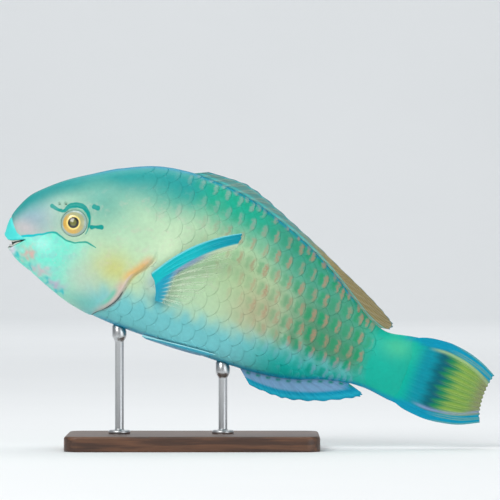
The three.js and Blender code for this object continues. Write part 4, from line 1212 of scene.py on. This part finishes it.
# %% Side fins
PECTORAL_TOP, PECTORAL_BOTTOM = (89.6, 5.0), (97.6, -9.2)
PECTORAL_MARGIN = [
    (131.3, 44.9), (132, 42.6), (131.4, 33), (128.5, 21), (124, 9), (118, -1.5), (111.5, -9.6),
]
LEAD_SHARES = [0, 1 / 6, 1 / 3, 1 / 2, 1]  # of the margin, with their mm from its leading corner
LEAD_WAYS = [0, 2.4, 12, 24.4, 60]
PECTORAL_TILT, PECTORAL_LIFT, PECTORAL_BOW = math.radians(11), 1.7, 4.6


def pectoral_surface(side):
    def at(u, v):
        """Lines from root to margin, bowed near the leading edge, that lean away from the flank."""
        along, up = (top + (low - top) * u for top, low in zip(PECTORAL_TOP, PECTORAL_BOTTOM))
        root = np.stack([along, up], axis=-1)
        way = spline(PECTORAL_MARGIN, u) - root
        length = np.linalg.norm(way, axis=-1)
        aside = np.stack([-way[..., 1], way[..., 0]], axis=-1) / length[..., None]
        bow = PECTORAL_BOW * (1 - u) * 4 * v * (1 - v)
        flat = root + way * v[..., None] + aside * bow[..., None]
        lift = PECTORAL_LIFT * smooth(v, -0.03, 0.08)
        reach = half_width(root[..., 0], root[..., 1]) + lift + math.tan(PECTORAL_TILT) * length * v
        ripple = 0.55 * np.sin(u * 12.0) * smooth(v, 0.2, 1.0)
        return np.stack([flat[..., 0], side * (reach + ripple), flat[..., 1]], axis=-1)
    return at


def paint_pectoral(u, v, s, t, edge):
    lead = u * 12 * (1 - v) + np.interp(u, LEAD_SHARES, LEAD_WAYS) * v
    band = 1 - smooth(lead, 5.8, 7.2)
    c = np.broadcast_to(srgb(196, 216, 182), s.shape + (3,))
    c = wash(c, srgb(136, 160, 184), (1 - smooth(lead, 9, 12)) * (1 - smooth(v, 0.5, 0.8)))
    c = wash(c, srgb(20, 186, 194), band)
    c = wash(c, srgb(0, 130, 158), smooth(v, 0.4, 0.95) * band * 0.7)
    c = wash(c, srgb(120, 214, 222), 1 - smooth(lead, 0.4, 0.9))
    c = wash(c, srgb(10, 160, 190), (1 - smooth(v, 0.2, 0.34)) * smooth(lead, 5, 7) * 0.95)
    solid = 0.06 + 0.94 * (1 - smooth(lead, 6.6, 11)) + 0.9 * (1 - smooth(v, 0.2, 0.36))
    pale = wash(c, srgb(222, 236, 212), smooth(lead, 7, 10) * smooth(v, 0.1, 0.3))
    solid = solid - 0.25 * smooth(v, 0.45, 0.85) * smooth(lead, 8, 12)
    return ({"ray_strength": 0.15 + 0.65 * smooth(lead, 8, 12), "solid": np.clip(solid, -0.25, 1)},
            {"ground": c, "ray_colour": pale})


for side, word in ((-1, "left"), (1, "right")):
    blade = fin_sheet(f"fin_pectoral_{word}", pectoral_surface(side), 12, 16, 60, thin_depth(0.9, 0.34),
                      paint_pectoral, sideways=False)
    add_piece(blade, FIN, "side_fin", f"pectoral_fin_{word}")

# %% Belly fins
PELVIC_FROM, PELVIC_OUTER, PELVIC_INNER = 96.5, 45.0, 33.0


def pelvic_surface(side):
    def at(u, v):
        """A folded fan, placed by the angle round the belly and the distance from it."""
        s = PELVIC_FROM + 3 * (1 - u) + (PELVIC_INNER + (PELVIC_OUTER - PELVIC_INNER) * u) * v
        spread = 5 + 8 * np.sin(v * 2.2)
        around = 12 + 12 * v + (u - 0.5) * spread
        angle = np.pi - np.radians(around)
        values = at_place(s)
        point = section(values, angle)
        ahead, behind = section(values, angle - 0.02), section(values, angle + 0.02)
        along = ahead - behind
        normal = np.stack([0 * s, -along[..., 2], along[..., 1]], axis=-1)
        normal /= np.linalg.norm(normal, axis=-1, keepdims=True)
        normal = np.where(normal[..., 2:3] > 0, -normal, normal)
        point = point + normal * (1.1 + 0.8 * v)[..., None]
        point[..., 1] *= -side
        return point
    return at


def paint_pelvic(u, v, s, t, edge):
    c = np.broadcast_to(srgb(40, 186, 214), s.shape + (3,))
    c = wash(c, srgb(150, 178, 212), (1 - smooth(u, 0.2, 0.75)) * 0.8)
    c = wash(c, srgb(190, 246, 246), smooth(u, 0.9, 1.0) * 0.7)
    clear = 0.35 * smooth(v, 0.3, 1) * (1 - smooth(u, 0.3, 0.7))
    return ({"ray_strength": 0.3 + 0 * s, "solid": 1 - clear},
            {"ground": c, "ray_colour": np.broadcast_to(srgb(186, 228, 232), s.shape + (3,))})


for side, word in ((-1, "left"), (1, "right")):
    blade = fin_sheet(f"fin_pelvic_{word}", pelvic_surface(side), 6, 18, 50, thin_depth(0.66, 0.34),
                      paint_pelvic, sideways=False)
    add_piece(blade, FIN, "side_fin", f"pelvic_fin_{word}")

# %% [markdown]
# ## Eyes
#
# A fish's eye is a flattened ball under clear skin. A lathe-like grid turns one profile round the eye's
# own axis: the ball, a low dome over the pupil for the lens, and a fine groove at the pupil's rim. The
# colours are rings read from a flat map of the eye, and the gloss of the wet surface is the shader's
# coat.

# %% Eyes
EYE_DEPTH, EYE_SUNK = 4.2, 1.3
PUPIL_RADIUS, LENS_DOME, PUPIL_GROOVE = 3.25, 0.34, 0.16
IRIS_MAP = 20.0  # mm of the eye that its flat map spans


def eye_axes(side):
    """The eye's centre on the skin and its three axes: out of the head, along the body and up it."""
    s, t = EYE_PLACE
    step = 0.5
    normal = np.array([-(half_width(s + step, t) - half_width(s - step, t)) / (2 * step), 1.0,
                       -(half_width(s, t + step) - half_width(s, t - step)) / (2 * step)])
    normal /= np.linalg.norm(normal)
    along = np.array([1.0, 0, 0]) - normal * normal[0]
    along /= np.linalg.norm(along)
    centre = np.array([s, float(half_width(s, t)), t]) - normal * EYE_SUNK
    flip = np.array([1, side, 1])
    return centre * flip, normal * flip, along * flip, np.cross(along, normal) * flip * -1


def eye_mesh(name, side):
    """An ellipsoid turned about the eye's axis, with a low dome inside the pupil's radius."""
    centre, out, along, up = eye_axes(side)
    polar, round_ = np.meshgrid(np.linspace(0, np.pi, 122)[1:-1],
                                np.linspace(0, 2 * np.pi, 120, endpoint=False), indexing="ij")
    radius = EYE_RADIUS * np.sin(polar)
    front = np.cos(polar) > 0
    height = EYE_DEPTH * np.cos(polar)
    dome = LENS_DOME * (1 - smooth(radius, 0, PUPIL_RADIUS))
    height = height + front * (dome - PUPIL_GROOVE * hump(radius - PUPIL_RADIUS, 0.3))
    grid = (centre + out * height[..., None] + along * (radius * np.cos(round_))[..., None]
            + up * (radius * np.sin(round_))[..., None]).reshape(-1, 3)
    ends = np.array([centre + out * (EYE_DEPTH + LENS_DOME), centre - out * EYE_DEPTH])
    flat = np.stack([radius * np.cos(round_), radius * np.sin(round_)], axis=-1)
    flat = flat.reshape(-1, 2) / IRIS_MAP + 0.5
    flat = np.concatenate([flat, [[0.5, 0.5], [0.5, 0.5]]])
    return make_mesh(name, to_scene(np.concatenate([grid, ends])), *tube_faces(120, 120),
                     uvs={"IrisPlace": flat})


def eye_finish():
    """Rings from the pupil outwards: olive lens, dark rim, bright gold, orange iris, silver edge."""
    finish = Finish("wet_eye", Coat_Weight=1.0, Coat_Roughness=0.03, Roughness=0.28)
    x, y = [(c - 0.5) * IRIS_MAP for c in finish.uv("IrisPlace")]
    radius = (x * x + y * y) ** 0.5  # from the middle of the eye, in mm
    fibres = finish.noise(1500.0, 4.0)
    around = finish.noise(240.0, 2.0)
    side = (x * -0.5 + y * 0.8 + (around - 0.5) * 3.0).smooth(-4.0, 3.5)
    iris = finish.mix(srgb(172, 176, 132), srgb(220, 174, 76), side)
    iris = finish.mix(iris, srgb(158, 184, 174), radius.smooth(6.0, 6.9))
    iris = finish.shade(iris, 0.8 + fibres * 0.4)
    ring = radius + (around - 0.5) * 0.5
    iris = finish.mix(srgb(250, 226, 128), iris, ring.smooth(3.8, 4.7))
    pupil = finish.mix(srgb(116, 116, 52), srgb(16, 18, 12), radius.smooth(1.4, 2.5))
    colour = finish.mix(pupil, iris, radius.smooth(3.15, 3.45))
    colour = finish.mix(colour, srgb(84, 120, 118), radius.smooth(7.5, 7.9))
    return finish.feed(Base_Color=colour)


EYE = eye_finish()
for side, word in ((-1, "left"), (1, "right")):
    add_piece(eye_mesh(f"eyeball_{word}", side), EYE, "eye", f"eye_{word}")

# %% [markdown]
# ## Tooth plates
#
# A parrotfish's teeth are fused into two beak plates, which show as a pale edge between the lips. Each
# plate follows the muzzle from one corner of the mouth to the other, just under the skin.

# %% Tooth plates
def front_of(t):
    """The place along the body where its outline is at height t, in front of the widest station."""
    rising = PROFILE[1] < 30
    falling = PROFILE[2] > -15
    high = np.interp(t, PROFILE[1][rising], PROFILE[0][rising])
    low = np.interp(-t, -PROFILE[2][falling], PROFILE[0][falling])
    return np.where(t > STATIONS[0, 4], high, low)


def plate_mesh(name, root_height, edge_line, reach):
    """A band of the muzzle's own shape, from the root under the lip to the cutting edge.

    Across, the place along the body grows with the square of the distance from the middle, which
    rounds the front.
    """
    w, r = np.meshgrid(np.linspace(-1, 1, 141), np.linspace(0, 1, 26), indexing="ij")
    near = front_of(np.full_like(w, edge_line[0][1]))
    t_edge = line_height(edge_line, near + (reach - near) * w**2)
    teeth = 0.5 + 0.5 * np.cos(w * 44.0)
    t = root_height(w) + (t_edge - root_height(w)) * r
    s = front_of(t) + (reach - front_of(t)) * w**2
    y = np.sign(w) * half_width(s, t)
    face = np.stack([s, y, t], axis=-1)
    normal = surface_normals(face)
    normal *= np.sign(-normal[70, 13, 0])
    bulge = 0.25 * hump(r - 0.8, 0.35) + 0.04 * teeth * smooth(r, 0.35, 0.8) - 0.1 * hump(w, 0.02)
    outer = face + normal * (-1.15 + bulge)[..., None]
    inner = face - normal * (2.9 - 1.2 * r)[..., None]
    points = np.stack([outer, inner]).reshape(-1, 3)
    uv = np.stack([w * 0.5 + 0.5, r], axis=-1).reshape(-1, 2)
    return make_mesh(name, to_scene(points), slab_quads(*w.shape),
                     uvs={"PlatePlace": np.concatenate([uv, uv])})


def tooth_finish():
    """Ivory with a green tinge at the root and a fine streak for every fused tooth."""
    finish = Finish("tooth_plate", Coat_Weight=0.6, Coat_Roughness=0.12)
    across, down = finish.uv("PlatePlace")
    streak = (across * 280.0).sine() * 0.5 + 0.5
    colour = finish.mix(srgb(150, 214, 200), srgb(238, 240, 228), down.smooth(0.3, 0.85))
    colour = finish.shade(colour, 0.9 + streak * 0.08)
    return finish.feed(Base_Color=colour, Roughness=0.3 + finish.noise(700.0) * 0.1,
                       Normal=finish.bump(streak, 0.00004, 0.3))


TOOTH = tooth_finish()
UPPER_CUT = [(-0.5, -4.9), (2.4, -6.7), (5.2, -6.1), (10.5, -3.1)]
LOWER_CUT = [(4.0, -8.9), (5.6, -8.4), (7.6, -6.4), (11.0, -3.7)]
PLATES = {  # height of the root across the mouth, cutting edge and reach of the corners
    "upper": (lambda w: -1.0 + 0 * w, UPPER_CUT, 9.6),
    "lower": (lambda w: -11.8 + 5.5 * w**2, LOWER_CUT, 11.0),
}
for word, form in PLATES.items():
    add_piece(plate_mesh(f"tooth_plate_{word}", *form), TOOTH, "tooth_plate", f"beak_{word}")

# %% [markdown]
# ## The stand
#
# Two short steel rods carry the fish over a wooden base. The base is one outline, a rectangle with
# round corners, carried down a profile with a soft upper edge. Each rod is a profile turned about its
# own axis. Its top follows the belly, so that it closes against the fish without a gap.

# %% Wood and steel
def wood_finish():
    """Dark oiled hardwood: rings of a noise field that is stretched along the grain, with fine pores."""
    finish = Finish("oiled_wood", Coat_Weight=0.25, Coat_Roughness=0.3)
    grain = finish.stretched(finish.place(), (5.0, 60.0, 60.0))
    broad = finish.noise(1.0, 4.0, 0.6, grain)
    rings = (broad * 42.0).sine() * 0.5 + 0.5
    pores = finish.noise(1.0, 6.0, 0.7, finish.stretched(finish.place(), (60.0, 1400.0, 1400.0)))
    colour = finish.mix(srgb(58, 34, 22), srgb(112, 72, 46), rings * 0.7 + broad * 0.3)
    colour = finish.shade(colour, 0.75 + pores.smooth(0.35, 0.7) * 0.35)
    return finish.feed(Base_Color=colour, Roughness=0.42 + pores * 0.16,
                       Normal=finish.bump(rings * 0.3 + pores, 0.00015, 0.5))


def steel_finish():
    finish = Finish("brushed_steel", Metallic=1.0)
    brushed = finish.noise(1.0, 3.0, 0.6, finish.stretched(finish.place(), (300.0, 300.0, 9000.0)))
    colour = finish.mix(srgb(176, 178, 180), srgb(206, 207, 208), brushed)
    return finish.feed(Base_Color=colour, Roughness=0.26 + brushed * 0.12,
                       Normal=finish.bump(brushed, 0.00004, 0.4))


WOOD, STEEL = wood_finish(), steel_finish()

# %% The base
BASE_LENGTH, BASE_WIDTH, BASE_HEIGHT, BASE_CORNER = 150.0, 86.0, 9.0, 9.0
EDGE_ROUND = 1.6


def base_mesh():
    """Round-cornered outlines, one for each inset and height of the edge, closed by two poles."""
    turn = np.linspace(0, 2 * np.pi, 128, endpoint=False)
    corner_s = np.sign(np.cos(turn + 1e-9)) * (BASE_LENGTH / 2 - BASE_CORNER)
    corner_y = np.sign(np.sin(turn + 1e-9)) * (BASE_WIDTH / 2 - BASE_CORNER)
    bend = np.linspace(0, np.pi / 2, 9)
    inset = np.concatenate([[30, 6, 0.9, 0.3, 0.05, 0, 0], EDGE_ROUND * (1 - np.cos(bend)), [4, 12, 30]])
    edge = BASE_HEIGHT - EDGE_ROUND * (1 - np.sin(bend))
    height = np.concatenate([[0, 0, 0, 0.12, 0.4, 0.9, 4.0], edge, [BASE_HEIGHT] * 3])
    radius = BASE_CORNER - np.minimum(inset, BASE_CORNER * 0.9)
    shrink = np.maximum(inset - BASE_CORNER * 0.9, 0)
    x = np.sign(corner_s) * (np.abs(corner_s) - shrink[:, None]) + radius[:, None] * np.cos(turn)
    y = np.sign(corner_y) * (np.abs(corner_y) - shrink[:, None]) + radius[:, None] * np.sin(turn)
    grid = np.stack([x, y, np.broadcast_to(height[:, None], x.shape)], axis=-1).reshape(-1, 3)
    points = np.concatenate([grid, [[0, 0, 0], [0, 0, BASE_HEIGHT]]]) * MM
    return make_mesh("base_slab", points, *tube_faces(len(height), len(turn)))


add_piece(base_mesh(), WOOD, "base_wood", "stand_base")

# %% The rods
ROD_RADIUS, CUP_RADIUS, CUP_HEIGHT = 2.6, 4.2, 5.0
COLLAR_RADIUS, COLLAR_HEIGHT = 6.5, 2.2
COLLAR_ROUND, SHAFT_FILLET, ROD_SUNK = 1.1, 0.9, 0.3
CUP_RIM = [(CUP_RADIUS, -0.9), (CUP_RADIUS - 0.25, -0.55), (CUP_RADIUS - 0.6, 0.35), (1.0, 0.4)]
ROD_PLACES = {"front": 82.0, "rear": 147.0}


def belly_height(x, y):
    """Height of the belly above a point of the floor, in mm, found in steps along the outline."""
    s = np.full(np.shape(x), 100.0)
    for _ in range(40):
        _, _, belly, half, mid = at_place(s)
        side = np.clip(np.abs(y) / np.maximum(half, 1e-6), 0, 1)
        t = mid - (mid - belly) * np.sqrt(1 - side**2) ** belly_power(s)
        s = (x - SNOUT_X - t * math.sin(PITCH)) / math.cos(PITCH)
    return SNOUT_Z - s * math.sin(PITCH) + t * math.cos(PITCH)


def rod_mesh(name, s):
    """A turned rod: collar, shaft and cup, with the cup's rim raised to just inside the belly."""
    belly = at_place(np.array(s))[2]
    x0 = SNOUT_X + s * math.cos(PITCH) + belly * math.sin(PITCH)
    neck = SNOUT_Z - s * math.sin(PITCH) + belly * math.cos(PITCH) - CUP_HEIGHT
    foot, collar = BASE_HEIGHT - ROD_SUNK, BASE_HEIGHT + COLLAR_HEIGHT
    bend = np.linspace(0, np.pi / 2, 7)
    profile = [(0.6, foot), (COLLAR_RADIUS, foot)]
    profile += [(COLLAR_RADIUS - COLLAR_ROUND * (1 - math.cos(b)),
                 collar - COLLAR_ROUND + COLLAR_ROUND * math.sin(b)) for b in bend]
    profile += [(ROD_RADIUS + SHAFT_FILLET * (1 - math.sin(b)),
                 collar + SHAFT_FILLET * (1 - math.cos(b))) for b in bend]
    profile += [(ROD_RADIUS, neck - 4)]
    profile += [(ROD_RADIUS + (CUP_RADIUS - ROD_RADIUS) * float(smooth(k, 0, 1)), neck - 4 + 4 * k)
                for k in np.linspace(0.1, 1, 9)]
    radius, height = np.array(profile).T
    turn = np.linspace(0, 2 * np.pi, 64, endpoint=False)
    x = x0 + radius[:, None] * np.cos(turn)
    y = radius[:, None] * np.sin(turn)
    z = np.broadcast_to(height[:, None], x.shape)
    rim = []
    for r, lift in CUP_RIM:
        rim_x, rim_y = x0 + r * np.cos(turn), r * np.sin(turn)
        rim.append(np.stack([rim_x, rim_y, belly_height(rim_x, rim_y) + lift], axis=-1))
    grid = np.concatenate([np.stack([x, y, z], axis=-1), np.stack(rim)])
    top = float(belly_height(np.array(x0), np.array(0.0))) + CUP_RIM[-1][1]
    ends = np.array([[x0, 0, foot], [x0, 0, top]])
    points = np.concatenate([grid.reshape(-1, 3), ends]) * MM
    return make_mesh(name, points, *tube_faces(len(grid), len(turn)))


for word, s in ROD_PLACES.items():
    add_piece(rod_mesh(f"rod_{word}", s), STEEL, "rod_steel", f"stand_rod_{word}")

# %% [markdown]
# ## Studio
#
# A plain pale floor runs up into a backdrop in one sweep, so that no horizon shows. Large soft lights
# do the work: a key from the upper left, a fill from the right, a broad light overhead and one that
# only brightens the backdrop. The camera looks level along +Y, square on to the fish's left side.

# %% Floor
BACKDROP_BEND, BACKDROP_FAR = 1.5, 4.6  # metres: radius of the bend, and where it starts


def floor_mesh():
    """A strip that runs level towards the back and then bends up in a quarter circle."""
    bend = np.linspace(0, np.pi / 2, 24)
    radius, far = BACKDROP_BEND, BACKDROP_FAR
    y = np.concatenate([[-9.0, -2.0, 0.0], far + radius * np.sin(bend), [far + radius]])
    z = np.concatenate([[0.0, 0.0, 0.0], radius * (1 - np.cos(bend)), [5.5]])
    x = np.array([-9.0, -3.0, 0.0, 3.0, 9.0])
    grid = np.stack(np.broadcast_arrays(x[None, :], y[:, None], z[:, None]), axis=-1)
    mesh = bpy.data.meshes.new("studio_floor")
    mesh.from_pydata(grid.reshape(-1, 3).tolist(), [], grid_quads(len(y), len(x)).tolist())
    mesh.shade_smooth()
    return mesh


paper = Finish("pale_paper", Roughness=0.85)
tone = paper.mix(srgb(236, 238, 239), srgb(240, 242, 243), paper.noise(3.0))
floor = bpy.data.objects.new("studio_floor", floor_mesh())
floor.data.materials.append(paper.feed(Base_Color=tone))
bpy.context.scene.collection.objects.link(floor)

# %% Lights
AIM = np.array([0.03, 0.0, 0.11])


def soft_light(name, place, size, watts, tint=(1, 1, 1), aim=AIM):
    """A square lamp at a place, turned to face the fish or another aim."""
    lamp = bpy.data.lights.new(name, "AREA")
    lamp.shape, lamp.size, lamp.energy, lamp.color = "SQUARE", size, watts, tint
    holder = bpy.data.objects.new(name, lamp)
    way = np.array(aim) - np.array(place)
    level = math.hypot(way[0], way[1])
    holder.location = place
    holder.rotation_euler = (math.atan2(level, -way[2]), 0, math.atan2(way[1], way[0]) - math.pi / 2)
    bpy.context.scene.collection.objects.link(holder)


soft_light("key_light", (-0.9, -1.2, 1.2), 0.9, 17.5, (1.0, 0.985, 0.96))
soft_light("fill_light", (1.2, -1.2, 0.35), 1.1, 8.0, (0.95, 0.98, 1.0))
soft_light("top_light", (0.1, 0.35, 1.6), 1.2, 11.0)
soft_light("backdrop_light", (0.0, 2.9, 3.2), 3.0, 70.0, aim=(0.0, 5.4, 0.0))
world = bpy.data.worlds.new("studio_air")
world.use_nodes = True
world.node_tree.nodes["Background"].inputs["Color"].default_value = (0.86, 0.90, 0.94, 1)
world.node_tree.nodes["Background"].inputs["Strength"].default_value = 0.40
bpy.context.scene.world = world
bpy.context.scene.view_settings.view_transform = "Standard"

# %% Camera
PHOTO_WIDTH = 0.2965  # metres of the fish's plane that the frame spans
CAMERA_DISTANCE = 2.5
CAMERA_X, CAMERA_Z = 0.0339, 0.1179
SENSOR = 36.0

camera = bpy.data.cameras.new("camera")
camera.sensor_width = SENSOR
camera.lens = SENSOR * CAMERA_DISTANCE / PHOTO_WIDTH
holder = bpy.data.objects.new("camera", camera)
holder.location = (CAMERA_X, -CAMERA_DISTANCE, CAMERA_Z)
holder.rotation_euler = (math.pi / 2, 0, 0)
bpy.context.scene.collection.objects.link(holder)
bpy.context.scene.camera = holder
print("lens:", round(camera.lens, 1), "mm")
